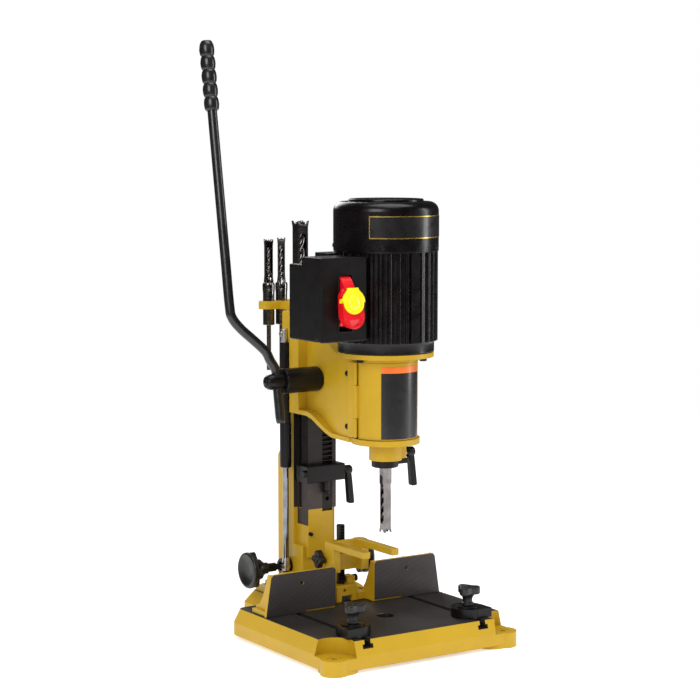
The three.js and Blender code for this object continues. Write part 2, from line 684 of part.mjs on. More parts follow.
function buildDoor() {
  const arcOutline = (outer, inner, from, to, steps = 20) => {
    const ring = (radius, first, last) => Array.from({ length: steps + 1 }, (_, i) => {
      const angle = THREE.MathUtils.degToRad(first + ((last - first) * i) / steps);
      return [radius * Math.cos(angle), radius * Math.sin(angle)];
    });
    return [...ring(outer, from, to), ...ring(inner, to, from)];
  };
  const z = [CHAMBER_FLOOR + 0.5, CHAMBER_ROOF - GAP];
  const shell = prism(arcOutline(49.5, 46.5, 177, 365), 'xy', z);
  const leaf = box([-53.4, -48], [0.5, 5.2], [363.4, 413.6]);
  const barrel = post(...HINGE_AXIS, [363, 414], 3.1, 16);
  const door = cut(union(shell, leaf, barrel), post(...HINGE_AXIS, [300, 460], 1.5, 12));
  place('chuck_door', door, YELLOW);
  const knuckles = [[333, 362.7], [414.3, 449]].map((span) =>
    union(post(...HINGE_AXIS, span, 3.1, 16), box([-53.6, -51.4], [5.6, 9.5], span)),
  );
  const plate = box([-53.6, -51.4], [9.2, 26], [333, 449]);
  place('door_hinge', union(...knuckles, plate, post(...HINGE_AXIS, [333, 449], 1.2, 12)), YELLOW);
}

function buildSwitch() {
  const x = [-150, -70];
  const y = [-52, 40];
  const z = [488.5, 614.5];
  const body = union(
    prism(roundedShape(x, z, 3), 'xz', [y[0], y[0] + 57]),
    prism(roundedShape(x, [z[0], z[1] - 12], 3), 'xz', [y[0] + 56, y[1]]),
    box([-95, -50], [y[0] + 64, y[1] + 14], [520, 617.5]),
  );
  const saddle = post(0, 0, [400, 700], RIB_RADIUS + 1, 56);
  const recess = box([-121, -95.5], [y[0] - 1, y[0] + 12], [503, 589]);
  const notch = pin([-152, -138], -38, z[0], 6.4, 24);
  const hollow = box([-146, -84], [y[0] + 14, y[1] - 4], [493, 598]);
  const door = box([-140, -90], [y[1] - 5, y[1] + 1], [500, 590]);
  place('switch_box', cut(body, saddle, recess, notch, hollow, door), BLACK);
  const gland = cut(pin([-146, -141.5], -38, z[0] + 0.2, 5.8, 24), pin([-160, -130], -38, z[0], 3.2, 20));
  place('cord_gland', gland, PLASTIC);
  const lid = prism(roundedShape([-139.5, -90.5], [500.5, 589.5], 3), 'xz', [y[1] - 3.5, y[1] - 0.5]);
  place('switch_box_lid', lid, BLACK);
  const rocker = prism(
    [[-41, 512], [-50, 512], [-63, 530], [-69, 556], [-65.5, 566], [-54, 583], [-50, 586.5], [-41, 586.5]],
    'yz',
    [-117.5, -99],
  );
  const flapBack = [[-60, 570], [-60.3, 545], [-62.3, 528], [-67.3, 512], [-74, 508.5]];
  const flapFront = [[-78, 509.5], [-78.3, 514], [-72.6, 552], [-66, 565]];
  const flapSide = prism([...flapBack, ...flapFront], 'yz', [-140, -80]);
  const bottom = Array.from({ length: 17 }, (_, i) => Math.PI * (1 + i / 16));
  const flapShape = bottom.map((a) => [-108.3 + 18.4 * Math.cos(a), 528.2 + 18.4 * Math.sin(a)]);
  const flapTop = [[-89.9, 560], [-98, 572], [-118.6, 572], [-126.7, 560]];
  const flap = prism([...flapShape, ...flapTop], 'xz', [-90, -50]).intersect(flapSide);
  const keySlot = box([-112, -104.5], [-90, -60.8], [541, 559]);
  place('switch_paddle', cut(union(rocker, flap), keySlot), RED);
  const lower = bottom.map((a) => [17.5 * Math.cos(a), 17.5 * Math.sin(a)]);
  const upper = [[19.5, 0], [19, 6], [16.5, 12], [11.5, 17], [9.5, 20], [9.5, 22]];
  const keyShape = [...lower, ...upper, ...upper.map(([x, z]) => [-x, z]).reverse()];
  const keyHead = prism(keyShape, 'xz', [-3.6, -0.4]);
  const keyDome = bar([0, -2.8, 0], [0, -7, 0], 11, 24, 6);
  const headOfKey = geometryOf(union(keyHead, keyDome));
  headOfKey.rotateX(-8.53 * (Math.PI / 180)).translate(-108.3, -73.1, 548.7);
  const keyTongue = box([-111.7, -104.8], [-75, -61.2], [541.3, 558.7]);
  place('switch_key', union(solidOf(headOfKey), keyTongue), KEY_YELLOW);
}

function buildHead() {
  place('head_casting', headCasting(), YELLOW);
  const half = COLUMN_HALF_WIDTH + GAP;
  place('head_gib', box([half + 0.4, half + 4], [186.5, 201.5], [356.5, 469.5]), BRASS);
  buildMotor();
  buildSpindle();
  buildChiselHolder();
  buildDoor();
  buildSwitch();
}

// ---------------------------------------------------------------------------------------------
// Feed pinion and lever
// ---------------------------------------------------------------------------------------------

// The lever leans back in the Y-Z plane; points are [x, distance up the lever from the hub].
function leverPoint(x, along) {
  return new THREE.Vector3(
    x, HUB_Y + along * Math.sin(LEVER_LEAN), HUB_Z + along * Math.cos(LEVER_LEAN),
  );
}

function sweep(points, radius, sides, steps) {
  const path = new THREE.CatmullRomCurve3(points, false, 'centripetal');
  const section = new THREE.Shape();
  section.absarc(0, 0, radius, 0, 2 * Math.PI);
  const geometry = new THREE.ExtrudeGeometry(section, {
    steps, extrudePath: path, curveSegments: sides / 2, bevelEnabled: false,
  });
  return solidOf(geometry);
}

function buildLever() {
  const addendum = PINION_RADIUS + RACK_MODULE - 0.4;
  const root = PINION_RADIUS - 1.25 * RACK_MODULE;
  // The rack has a tooth at the hub's height, so the pinion has a gap there.
  const pitch = (2 * Math.PI) / PINION_TEETH;
  const gearShape = toothedShape(PINION_TEETH, root, addendum, 0.34, pitch / 2);
  const gear = prism(gearShape, 'xy', RACK_X);
  const geometry = geometryOf(gear);
  geometry.rotateX(Math.PI / 2).rotateZ(Math.PI / 2).translate(0, HUB_Y, HUB_Z);
  const shaft = union(
    solidOf(geometry), pin([-46, 46], HUB_Y, HUB_Z, 11.9, 28), pin([-126, -40], HUB_Y, HUB_Z, 9.5, 28),
  );
  const across = (radius, from, to) =>
    bar(leverPoint(LEVER_INNER_X, from).toArray(), leverPoint(LEVER_INNER_X, to).toArray(), radius, 24);
  place('feed_pinion', cut(shaft, across(ROD_HOLE_RADIUS, -20, 20)), STEEL);
  const hub = turnedAlongX([
    [9.8, -100], [18.6, -100], [20, -98.5], [20, -36], [18, -33.4], [12.6, -33.4], [12.6, -46.6],
    [9.8, -47.6], [9.8, -100],
  ], HUB_Y, HUB_Z, 40);
  place('lever_hub', hub, BLACK);
  const knob = turnedAlongX([
    [9.8, -128], [9.8, -101], [12, -101], [13, -102], [13, -117.5], [11.5, -126], [9, -130], [0, -130.5],
    [0, -128], [9.8, -128],
  ], HUB_Y, HUB_Z, 32);
  place('hub_knob', cut(knob, across(ROD_HOLE_RADIUS, -30, 30)), BLACK);
  const route = [
    [LEVER_INNER_X, -66], [LEVER_INNER_X, -30], [LEVER_INNER_X, 0], [LEVER_INNER_X - 0.5, 18],
    [LEVER_INNER_X - 9, 34], [-126, 49], [-146, 68], [-166, 86], [LEVER_OUTER_X + 3, 104],
    [LEVER_OUTER_X, 124], [LEVER_OUTER_X, 200], [LEVER_OUTER_X, 320], [LEVER_OUTER_X, 520],
  ];
  const rod = sweep(route.map(([x, along]) => leverPoint(x, along)), LEVER_ROD_RADIUS, 10, 34);
  place('lever_rod', rod, BLACK);
  const grip = [];
  const low = 430;
  const bulge = 21.4;
  const top = low + 5 * bulge;
  for (let start = low; start < top - 1; start += bulge) {
    grip.push([9.4, start], [11.6, start + 6], [11.9, start + 10.7], [11.6, start + 15.4]);
  }
  const bore = LEVER_ROD_RADIUS + GAP;
  const profile = [
    [bore, low], ...grip, [9.4, top - 1], [8, top + 3], [0, top + 4], [0, top - 8], [bore, top - 8],
    [bore, low],
  ];
  const gripGeometry = new THREE.LatheGeometry(lathePoints(profile), flats(28));
  gripGeometry.rotateX(Math.PI / 2).rotateX(-LEVER_LEAN).translate(LEVER_OUTER_X, HUB_Y, HUB_Z);
  place('lever_grip', solidOf(gripGeometry), PLASTIC);
}

// ---------------------------------------------------------------------------------------------
// Fence, hold-down and edge stops
// ---------------------------------------------------------------------------------------------

function fencePlate(side) {
  const low = TABLE_TOP + GAP;
  const outline = [
    [side * FENCE_GAP_HALF, low + 3], [side * (FENCE_GAP_HALF + 58), low + 3],
    [side * (FENCE_GAP_HALF + 62), low],
    [side * FENCE_HALF, low], [side * (FENCE_HALF - FENCE_TAPER), FENCE_TOP - 4],
    [side * (FENCE_HALF - FENCE_TAPER - 4), FENCE_TOP], [side * (FENCE_GAP_HALF + 4), FENCE_TOP],
    [side * FENCE_GAP_HALF, FENCE_TOP - 4],
  ];
  const ordered = side > 0 ? outline : outline.reverse();
  const web = (x, top) => prism(
    [[FENCE_FACE + 3, low], [133, low], [133, 60], [121, 64], [FENCE_FACE + 12, top], [FENCE_FACE + 3, top]],
    'yz',
    x > 0 ? [x - 6, x] : [x, x + 6],
  );
  const inner = side * FENCE_GAP_HALF;
  return union(
    prism(ordered, 'xz', [FENCE_FACE, FENCE_FACE + 6]),
    web(side * (FENCE_HALF - FENCE_TAPER), FENCE_TOP - 0.5),
    web(side * (FENCE_HALF - 66), FENCE_TOP - 6),
    web(side > 0 ? inner + 6 : inner - 6, FENCE_TOP - 0.5),
    box([inner, side * (FENCE_HALF - 3)].sort((a, b) => a - b), [FENCE_FACE + 3, 133], [low, 56]),
  );
}

function fenceCasting() {
  const low = TABLE_TOP + GAP;
  const block = union(
    box([-20, 20], [109, 150], [low, 76]),
    box([-38, 38], [111, 134], [low, 62]),
    box([8, 22], [118, 138], [70, 88]),
  );
  const holes = [-100, 100].map((x) => bar([x, FENCE_FACE - 1, 97], [x, FENCE_FACE + 8, 97], 3.2, 20));
  return cut(
    union(fencePlate(-1), fencePlate(1), block),
    box([-9.9, 9.9], [100, 160], [40, 59]),
    box([-9.9, 9.9], [142, 160], [40, 70.9]),
    post(0, ROD_Y, [62, 90], 7.05, 24),
    bar([-4, 108, 68], [-4, 122, 68], 2.6, 16),
    pin([7, 30], ROD_Y, 82, 3.6, 16),
    ...holes,
  );
}

function guideBar() {
  const pitchLine = FENCE_SHAFT_Z - (GUIDE_MODULE * FENCE_PINION_TEETH) / 2;
  const tip = pitchLine + GUIDE_MODULE;
  const rack = rackOutline(143, 278, TABLE_TOP + GAP, tip, GUIDE_MODULE, FENCE_SHAFT_Y);
  const front = box([-9.6, 9.6], [113, 144], [TABLE_TOP + GAP, 58.7]);
  return union(prism(rack, 'yz', [-9.6, 9.6]), front);
}

function buildFence() {
  place('fence_casting', fenceCasting(), YELLOW);
  place('guide_bar', guideBar(), GROUND_IRON);
  const teeth = rackOutline(84, 172, 4, -5.4, 1.5, 120);
  const strip = prism(teeth.map(([z, y]) => [y + ROD_Y, z]), 'yz', [-4, 4]);
  const round = cut(post(0, ROD_Y, [62.3, 172], 6.7, 24), box([-4, 4], [ROD_Y - 8, ROD_Y - 2], [84, 180]));
  place('holddown_post', union(round, strip), GROUND_IRON);
  const lock = union(pin([22.3, 30], ROD_Y, 82, 6, 20), pin([9, 23], ROD_Y, 82, 3.3, 16));
  place('post_lock_bolt', lock, BLACK);
  const fork = union(
    box([-34, -20], [11, 123], [139, 149.5]),
    box([20, 34], [11, 123], [139, 149.5]),
    box([-34, 34], [112, 118], [101, 126]),
    box([-34, -20], [97, 123], [101, 149.5]),
    box([20, 34], [97, 123], [101, 149.5]),
    box([-20, 10], [112, 118], [101, 149.5]),
    box([-12, 12], [116, 140], [104, 146]),
    box([-34, -12], [118, 136], [112, 128]),
  );
  place('holddown_fork', cut(
    fork, post(0, ROD_Y, [90, 160], 7.05, 24), pin([-40, -6.5], ROD_Y, 120, 3.6, 16),
    box([-13, 13], [110, 123], [128, 137]),
  ), YELLOW);
  const star = prism(lobedShape(4, 12.2, 2.6, 0), 'xy', [0, 11]);
  const starGeometry = geometryOf(star);
  starGeometry.rotateY(-Math.PI / 2).translate(-36.3, ROD_Y, 120);
  const stem = union(
    solidOf(starGeometry), pin([-36.6, -34.3], ROD_Y, 120, 6, 20), pin([-36, -7.4], ROD_Y, 120, 3.3, 16),
  );
  place('fork_star_knob', stem, PLASTIC);
}

// A dished hand knob with seven lobes and a stepped neck, its face outwards along X.
function handKnob(side) {
  const grip = geometryOf(prism(lobedShape(7, 28.4, 1.6, 0, 6), 'xy', [0, 17]));
  grip.rotateY(Math.PI / 2);
  const neck = turnedAlongX([
    [0, -22], [9.4, -22], [9.4, -14], [12.5, -14], [12.5, -6], [16, 0], [0, 0],
  ], 0, 0, 32);
  const dish = turnedAlongX([[0, 11], [14, 12.5], [22, 16.9], [22, 20], [0, 20]], 0, 0, 32);
  const knob = geometryOf(cut(union(solidOf(grip), neck), dish, pin([-30, -8], 0, 0, 5.3, 24)));
  if (side < 0) {
    knob.rotateZ(Math.PI);
  }
  knob.translate(side * 100, FENCE_SHAFT_Y, FENCE_SHAFT_Z);
  return solidOf(knob);
}

function buildFenceDrive() {
  const radius = (GUIDE_MODULE * FENCE_PINION_TEETH) / 2;
  const pitch = (2 * Math.PI) / FENCE_PINION_TEETH;
  const phase = -Math.PI / 2 + pitch / 2;
  const outline = toothedShape(
    FENCE_PINION_TEETH, radius - 1.25 * GUIDE_MODULE, radius + GUIDE_MODULE - 0.3, 0.34, phase,
  );
  const gear = geometryOf(prism(outline, 'xy', [-9, 9]));
  gear.rotateX(Math.PI / 2).rotateZ(Math.PI / 2).translate(0, FENCE_SHAFT_Y, FENCE_SHAFT_Z);
  const shaft = union(
    solidOf(gear),
    pin([-91.6, 91.6], FENCE_SHAFT_Y, FENCE_SHAFT_Z, 5, 24),
    pin([-78, -62], FENCE_SHAFT_Y, FENCE_SHAFT_Z, 7.2, 24),
    pin([62, 78], FENCE_SHAFT_Y, FENCE_SHAFT_Z, 7.2, 24),
  );
  place('fence_pinion_shaft', shaft, BLACK);
  place('fence_knob_left', handKnob(-1), PLASTIC);
  place('fence_knob_right', handKnob(1), PLASTIC);
}

function buildEdgeStop(side, name) {
  const x = side * SLOT_X;
  const y = -71;
  const low = TABLE_TOP + GAP;
  const disc = union(
    post(x, y, [low, 63.5], 26.5, 40),
    box([x, x + 27], [y - 27, y], [low, 63.5]),
    post(x, y, [63, 65.5], 18, 32),
  );
  place(`edge_stop_${name}`, cut(disc, post(x, y, [40, 80], 4.4, 24)), BLACK);
  const bolt = union(box([x - 8.6, x + 8.6], [y - 8.6, y + 8.6], [36, 41.2]), post(x, y, [40, 92], 3.9, 20));
  place(`stop_bolt_${name}`, bolt, STEEL);
  const lobes = prism(lobedShape(3, 15.6, 4.2, Math.PI / 2), 'xy', [82, 95.5]);
  const neck = turned([[0, 66.3], [9, 66.3], [9, 70], [7.6, 71], [7.6, 76], [12, 83], [0, 83]], 0, 0, 28);
  const knob = geometryOf(union(lobes, neck));
  knob.translate(x, y, 0);
  place(`stop_knob_${name}`, cut(solidOf(knob), post(x, y, [60, 92.4], 4.2, 20)), PLASTIC);
}

buildStand();
buildStrut();
buildDepthStop();
buildHead();
buildLever();
buildFence();
buildFenceDrive();
buildEdgeStop(-1, 'left');
buildEdgeStop(1, 'right');

machine.position.set(-BOX_CENTRE_X, -BOX_CENTRE_Y, 0);

const root = new THREE.Group();
root.add(machine);

export default root;
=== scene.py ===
"""Looks of a benchtop hollow chisel mortiser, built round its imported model.

Every size below is in millimetres, measured from the point of the bench that lies under the spindle:
+X is to the operator's right, -Y is towards the operator and +Z is up. The workshop turns each shape
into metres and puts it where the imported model's rotor shaft says the spindle is.
"""

import json
import logging
import math
from collections.abc import Callable, Iterable, Sequence
from dataclasses import dataclass, replace
from enum import Enum

import bmesh
import bpy
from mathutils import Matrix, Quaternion, Vector

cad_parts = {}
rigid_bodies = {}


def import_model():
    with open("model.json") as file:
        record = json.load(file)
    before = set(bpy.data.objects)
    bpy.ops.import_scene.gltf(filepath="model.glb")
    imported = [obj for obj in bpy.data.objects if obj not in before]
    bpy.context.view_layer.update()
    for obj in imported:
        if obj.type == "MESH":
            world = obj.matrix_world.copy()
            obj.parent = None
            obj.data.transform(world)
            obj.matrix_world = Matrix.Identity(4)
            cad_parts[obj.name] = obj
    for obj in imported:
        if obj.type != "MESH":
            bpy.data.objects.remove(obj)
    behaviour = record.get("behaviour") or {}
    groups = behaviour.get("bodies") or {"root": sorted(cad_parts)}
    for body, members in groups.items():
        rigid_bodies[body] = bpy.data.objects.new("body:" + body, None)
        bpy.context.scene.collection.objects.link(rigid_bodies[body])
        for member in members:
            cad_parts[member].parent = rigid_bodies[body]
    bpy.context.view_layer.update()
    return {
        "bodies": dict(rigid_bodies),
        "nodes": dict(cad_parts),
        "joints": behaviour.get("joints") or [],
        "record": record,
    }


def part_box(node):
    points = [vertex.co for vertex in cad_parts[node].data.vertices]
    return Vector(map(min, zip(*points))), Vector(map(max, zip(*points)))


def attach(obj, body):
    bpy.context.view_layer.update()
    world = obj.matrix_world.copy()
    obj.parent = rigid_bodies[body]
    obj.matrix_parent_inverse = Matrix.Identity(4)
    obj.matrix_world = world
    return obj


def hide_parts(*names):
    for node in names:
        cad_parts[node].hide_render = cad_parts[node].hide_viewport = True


LOG = logging.getLogger("mortiser")
MM = 0.001
FLAT_DEGREES = 0.2
SCORE_DISTANCE = 1e-4

Point = tuple[float, float, float]
Flat = tuple[float, float]
Span = tuple[float, float]


class Plane(Enum):
    """The plane that an outline is drawn in. It is extruded along the third axis."""

    XY = "xy"
    YZ = "yz"
    XZ = "xz"

    def place(self, u: float, v: float, depth: float) -> Vector:
        """Puts an outline's point into space, at a depth along the third axis."""
        places = {
            Plane.XY: (u, v, depth),
            Plane.YZ: (depth, u, v),
            Plane.XZ: (u, depth, v),
        }
        return Vector(places[self])


class Axis(Enum):
    """The direction that a turned shape points in."""

    X = (1.0, 0.0, 0.0)
    MINUS_X = (-1.0, 0.0, 0.0)
    Y = (0.0, 1.0, 0.0)
    MINUS_Y = (0.0, -1.0, 0.0)
    Z = (0.0, 0.0, 1.0)


class Join(Enum):
    """How two solids are put together."""

    ADD = "UNION"
    CUT = "DIFFERENCE"
    KEEP_COMMON = "INTERSECT"


# ---------------------------------------------------------------------------------------------
# Outlines
# ---------------------------------------------------------------------------------------------


def arc(centre: Flat, radius: float, start: float, end: float, steps: int = 8) -> list[Flat]:
    """Points along an arc.

    Args:
        centre: The arc's centre.
        radius: Its radius.
        start: The first point's angle in degrees.
        end: The last point's angle in degrees.
        steps: How many flats the arc has.

    Returns:
        The points from start to end, both included.
    """
    angles = [math.radians(start + (end - start) * i / steps) for i in range(steps + 1)]
    return [(centre[0] + radius * math.cos(a), centre[1] + radius * math.sin(a)) for a in angles]


def rounded_rectangle(x: Span, y: Span, radius: float, steps: int = 8) -> list[Flat]:
    """A rectangle with round corners, counter-clockwise."""
    low_x, high_x = x[0] + radius, x[1] - radius
    low_y, high_y = y[0] + radius, y[1] - radius
    corners = [(high_x, low_y, -90), (high_x, high_y, 0), (low_x, high_y, 90), (low_x, low_y, 180)]
    return [p for cx, cy, start in corners for p in arc((cx, cy), radius, start, start + 90, steps)]


def ring_sector(outer: float, inner: float, start: float, end: float, steps: int = 24) -> list[Flat]:
    """A piece of a ring about the spindle, between two angles in degrees."""
    return arc((0, 0), outer, start, end, steps) + arc((0, 0), inner, end, start, steps)


def toothed_ring(count: int, root: float, tip: float, phase: float = 0.0, share: float = 0.16) -> list[Flat]:
    """A ring of straight-flanked teeth.

    Args:
        count: How many teeth there are.
        root: The radius between the teeth.
        tip: The radius at their tips.
        phase: The first tooth's angle in radians.
        share: Half of a tip's width as a share of the pitch.

    Returns:
        The outline's points.
    """
    pitch = 2 * math.pi / count
    points: list[Flat] = []
    for i in range(count):
        for offset, radius in ((-0.34, root), (-share, tip), (share, tip), (0.34, root)):
            angle = phase + (i + offset) * pitch
            points.append((radius * math.cos(angle), radius * math.sin(angle)))
    return points


def lobed_ring(lobes: int, radius: float, wave: float, phase: float = 0.0, steps: int = 16) -> list[Flat]:
    """A wavy outline, for knobs that are gripped by their lobes."""
    points: list[Flat] = []
    for i in range(lobes * steps):
        angle = 2 * math.pi * i / (lobes * steps)
        reach = radius + wave * math.cos(lobes * (angle - phase))
        points.append((reach * math.cos(angle), reach * math.sin(angle)))
    return points


def rack_outline(span: Span, back: float, tip: float, module: float, mesh_point: float) -> list[Flat]:
    """A strip of rack teeth: the first number runs along the rack and the second across it."""
    pitch = math.pi * module
    root = tip - math.copysign(2.25 * module, tip - back)
    points = [(span[0], back), (span[0], root)]
    middle = mesh_point - pitch * math.floor((mesh_point - span[0] - pitch / 2) / pitch)
    while middle < span[1] - pitch / 2:
        points += [(middle - 0.36 * pitch, root), (middle - 0.14 * pitch, tip)]
        points += [(middle + 0.14 * pitch, tip), (middle + 0.36 * pitch, root)]
        middle += pitch
    return points + [(span[1], root), (span[1], back)]


def smooth_path(points: Sequence[Point], samples: int = 6) -> list[Vector]:
    """Samples a smooth curve through points.

    Args:
        points: What the curve passes through.
        samples: How many samples each stretch gets.

    Returns:
        The sampled points, the first and last included.
    """
    ends = [Vector(p) for p in points]
    ends = [2 * ends[0] - ends[1], *ends, 2 * ends[-1] - ends[-2]]
    path: list[Vector] = []
    for a, b, c, d in zip(ends, ends[1:], ends[2:], ends[3:]):
        for i in range(samples):
            t = i / samples
            path.append(0.5 * (2 * b + (c - a) * t + (2 * a - 5 * b + 4 * c - d) * t**2
                               + (3 * b - a - 3 * c + d) * t**3))
    return [*path, ends[-2]]


# ---------------------------------------------------------------------------------------------
# Shapes
# ---------------------------------------------------------------------------------------------


class Shape:
    """A closed mesh in the making, in millimetres."""

    def __init__(self, mesh: bmesh.types.BMesh) -> None:
        """Takes over a bmesh."""
        self.mesh = mesh

    @classmethod
    def block(cls, x: Span, y: Span, z: Span, edge: float = 0.0, segments: int = 2) -> "Shape":
        """A rectangular block, with its edges rounded by edge."""
        mesh = bmesh.new()
        bmesh.ops.create_cube(mesh, size=1.0)
        size = Vector((x[1] - x[0], y[1] - y[0], z[1] - z[0]))
        bmesh.ops.scale(mesh, vec=size, verts=mesh.verts)
        middle = Vector((sum(x), sum(y), sum(z))) / 2
        bmesh.ops.translate(mesh, vec=middle, verts=mesh.verts)
        shape = cls(mesh)
        return shape.rounded(edge, segments) if edge else shape

    @classmethod
    def turned(cls, profile: Sequence[Flat], at: Point = (0, 0, 0), axis: Axis = Axis.Z,
               steps: int = 96) -> "Shape":
        """Turns a profile of (radius, height) points round an axis.

        Args:
            profile: Open from axis to axis, or a ring that is closed by its last point's return.
            at: Where height 0 is.
            axis: Which way height grows.
            steps: How many flats the round has.

        Returns:
            The turned shape.
        """
        mesh = bmesh.new()
        verts = [mesh.verts.new((radius, 0, height)) for radius, height in profile]
        edges = [mesh.edges.new(pair) for pair in zip(verts, verts[1:])]
        if profile[0][0] > 0 or profile[-1][0] > 0:
            edges.append(mesh.edges.new((verts[-1], verts[0])))
        bmesh.ops.spin(mesh, geom=verts + edges, cent=(0, 0, 0), axis=(0, 0, 1), angle=2 * math.pi,
                       steps=steps, use_merge=True)
        bmesh.ops.remove_doubles(mesh, verts=mesh.verts, dist=1e-4)
        bmesh.ops.recalc_face_normals(mesh, faces=mesh.faces)
        return cls(mesh).pointed(axis, at)

    @classmethod
    def rod(cls, start: Point, end: Point, radius: float, steps: int = 40, edge: float = 0.0,
            end_radius: float | None = None) -> "Shape":
        """A round bar or cone between two points, with its two rims rounded by edge."""
        along = Vector(end) - Vector(start)
        length = along.length
        last = radius if end_radius is None else end_radius
        if edge:
            profile = [(0, 0), (radius - edge, 0), (radius - edge * 0.3, edge * 0.3), (radius, edge),
                       (last, length - edge), (last - edge * 0.3, length - edge * 0.3),
                       (last - edge, length), (0, length)]
        else:
            profile = [(0, 0), (radius, 0), (last, length), (0, length)]
        shape = cls.turned(profile, steps=steps)
        turn = Vector((0, 0, 1)).rotation_difference(along.normalized())
        return shape.turned_by(turn).moved(start)

    @classmethod
    def prism(cls, outline: Sequence[Flat], plane: Plane, span: Span, edge: float = 0.0,
              segments: int = 2) -> "Shape":
        """Extrudes an outline, and rounds its sharp edges by edge."""
        mesh = bmesh.new()
        verts = [mesh.verts.new(plane.place(u, v, span[0])) for u, v in outline]
        face = mesh.faces.new(verts)
        grown = bmesh.ops.extrude_face_region(mesh, geom=[face])
        moved = [g for g in grown["geom"] if isinstance(g, bmesh.types.BMVert)]
        bmesh.ops.translate(mesh, vec=plane.place(0, 0, span[1] - span[0]), verts=moved)
        bmesh.ops.recalc_face_normals(mesh, faces=mesh.faces)
        shape = cls(mesh)
        return shape.rounded(edge, segments) if edge else shape

    @classmethod
    def lofted(cls, loops: Sequence[Sequence[Vector]], closed: bool = False) -> "Shape":
        """Joins loops of the same number of points into one skin, with a cap at each end."""
        mesh = bmesh.new()
        rings: list[list[bmesh.types.BMEdge]] = []
        for loop in loops:
            verts = [mesh.verts.new(point) for point in loop]
            rings.append([mesh.edges.new((a, b)) for a, b in zip(verts, verts[1:] + verts[:1])])
        for below, above in zip(rings, rings[1:]):
            bmesh.ops.bridge_loops(mesh, edges=below + above)
        if not closed:
            for ring in (rings[0], rings[-1]):
                bmesh.ops.contextual_create(mesh, geom=ring)
        bmesh.ops.recalc_face_normals(mesh, faces=mesh.faces)
        return cls(mesh)

    @classmethod
    def swept(cls, path: Sequence[Vector], radius: float | Sequence[float], steps: int = 24) -> "Shape":
        """A round bar along a path, with one radius or a radius for each point."""
        radii = [radius] * len(path) if isinstance(radius, (int, float)) else list(radius)
        side = Vector((1.0, 0.0, 0.0))
        loops: list[list[Vector]] = []
        for i, centre in enumerate(path):
            along = (path[min(i + 1, len(path) - 1)] - path[max(i - 1, 0)]).normalized()
            side = (side - along * side.dot(along)).normalized()
            across = along.cross(side)
            angles = [2 * math.pi * k / steps for k in range(steps)]
            loops.append([centre + radii[i] * (math.cos(a) * side + math.sin(a) * across) for a in angles])
        return cls.lofted(loops)

    def pointed(self, axis: Axis, at: Point) -> "Shape":
        """Turns a shape that points up so that it points along axis, and moves its foot to at."""
        turn = Vector((0, 0, 1)).rotation_difference(Vector(axis.value))
        return self.turned_by(turn).moved(at)

    def turned_by(self, turn: Quaternion) -> "Shape":
        """Turns the shape about the origin."""
        bmesh.ops.rotate(self.mesh, cent=(0, 0, 0), matrix=turn.to_matrix(), verts=self.mesh.verts)
        return self

    def moved(self, by: Sequence[float]) -> "Shape":
        """Moves the shape."""
        bmesh.ops.translate(self.mesh, vec=Vector(by), verts=self.mesh.verts)
        return self

    def mirrored(self) -> "Shape":
        """A copy of the shape on the other side of X = 0, with its faces still pointing out."""
        other = self.mesh.copy()
        bmesh.ops.scale(other, vec=(-1, 1, 1), verts=other.verts)
        bmesh.ops.reverse_faces(other, faces=other.faces)
        return Shape(other)

    def rounded(self, width: float, segments: int = 2, angle: float = 35.0,
                where: Callable[[Vector], bool] | None = None) -> "Shape":
        """Rounds the edges where faces meet at more than angle.

        Args:
            width: How much of each face the round takes.
            segments: How many strips it has.
            angle: The smallest angle that is rounded, in degrees.
            where: A test of an edge's middle. Every edge is rounded without it.

        Returns:
            The shape itself.
        """
        limit = math.radians(angle)
        sharp = [
            e for e in self.mesh.edges
            if e.is_manifold and e.calc_face_angle(0.0) > limit
            and (where is None or where((e.verts[0].co + e.verts[1].co) / 2))
        ]
        bmesh.ops.bevel(self.mesh, geom=sharp, offset=width, offset_type="OFFSET", affect="EDGES",
                        segments=segments, profile=0.5, material=-1, clamp_overlap=True)
        return self

    def combined(self, how: Join, tools: Iterable["Shape"]) -> "Shape":
        """Joins this solid with others, or cuts it by them.

        Args:
            how: Whether the tools are added, cut away, or only what is common is kept.
            tools: The other solids. They are used up.

        Returns:
            The new solid.
        """
        host = _scratch_object("host", self.mesh)
        helpers = [_scratch_object("tool", tool.mesh) for tool in tools]
        for helper in helpers:
            modifier = host.modifiers.new("join", "BOOLEAN")
            modifier.operation = how.value
            modifier.solver = "EXACT"
            modifier.object = helper
        graph = bpy.context.evaluated_depsgraph_get()
        graph.update()
        result = bmesh.new()
        result.from_mesh(host.evaluated_get(graph).to_mesh())
        host.evaluated_get(graph).to_mesh_clear()
        for scratch in (host, *helpers):
            data = scratch.data
            bpy.data.objects.remove(scratch)
            bpy.data.meshes.remove(data)
        bmesh.ops.remove_doubles(result, verts=result.verts, dist=1e-3)
        bmesh.ops.dissolve_limit(result, angle_limit=math.radians(FLAT_DEGREES), verts=result.verts,
                                 edges=result.edges)
        return Shape(result)

    def plus(self, *tools: "Shape") -> "Shape":
        """The union of this solid and others."""
        return self.combined(Join.ADD, tools)

    def minus(self, *tools: "Shape") -> "Shape":
        """This solid with others cut away."""
        return self.combined(Join.CUT, tools)

    def common(self, *tools: "Shape") -> "Shape":
        """What this solid has in common with each of the others."""
        return self.combined(Join.KEEP_COMMON, tools)

    def beside(self, *others: "Shape") -> "Shape":
        """Puts separate shells into one shape, without joining them."""
        for other in others:
            data = bpy.data.meshes.new("shell")
            other.mesh.to_mesh(data)
            self.mesh.from_mesh(data)
            bpy.data.meshes.remove(data)
        return self

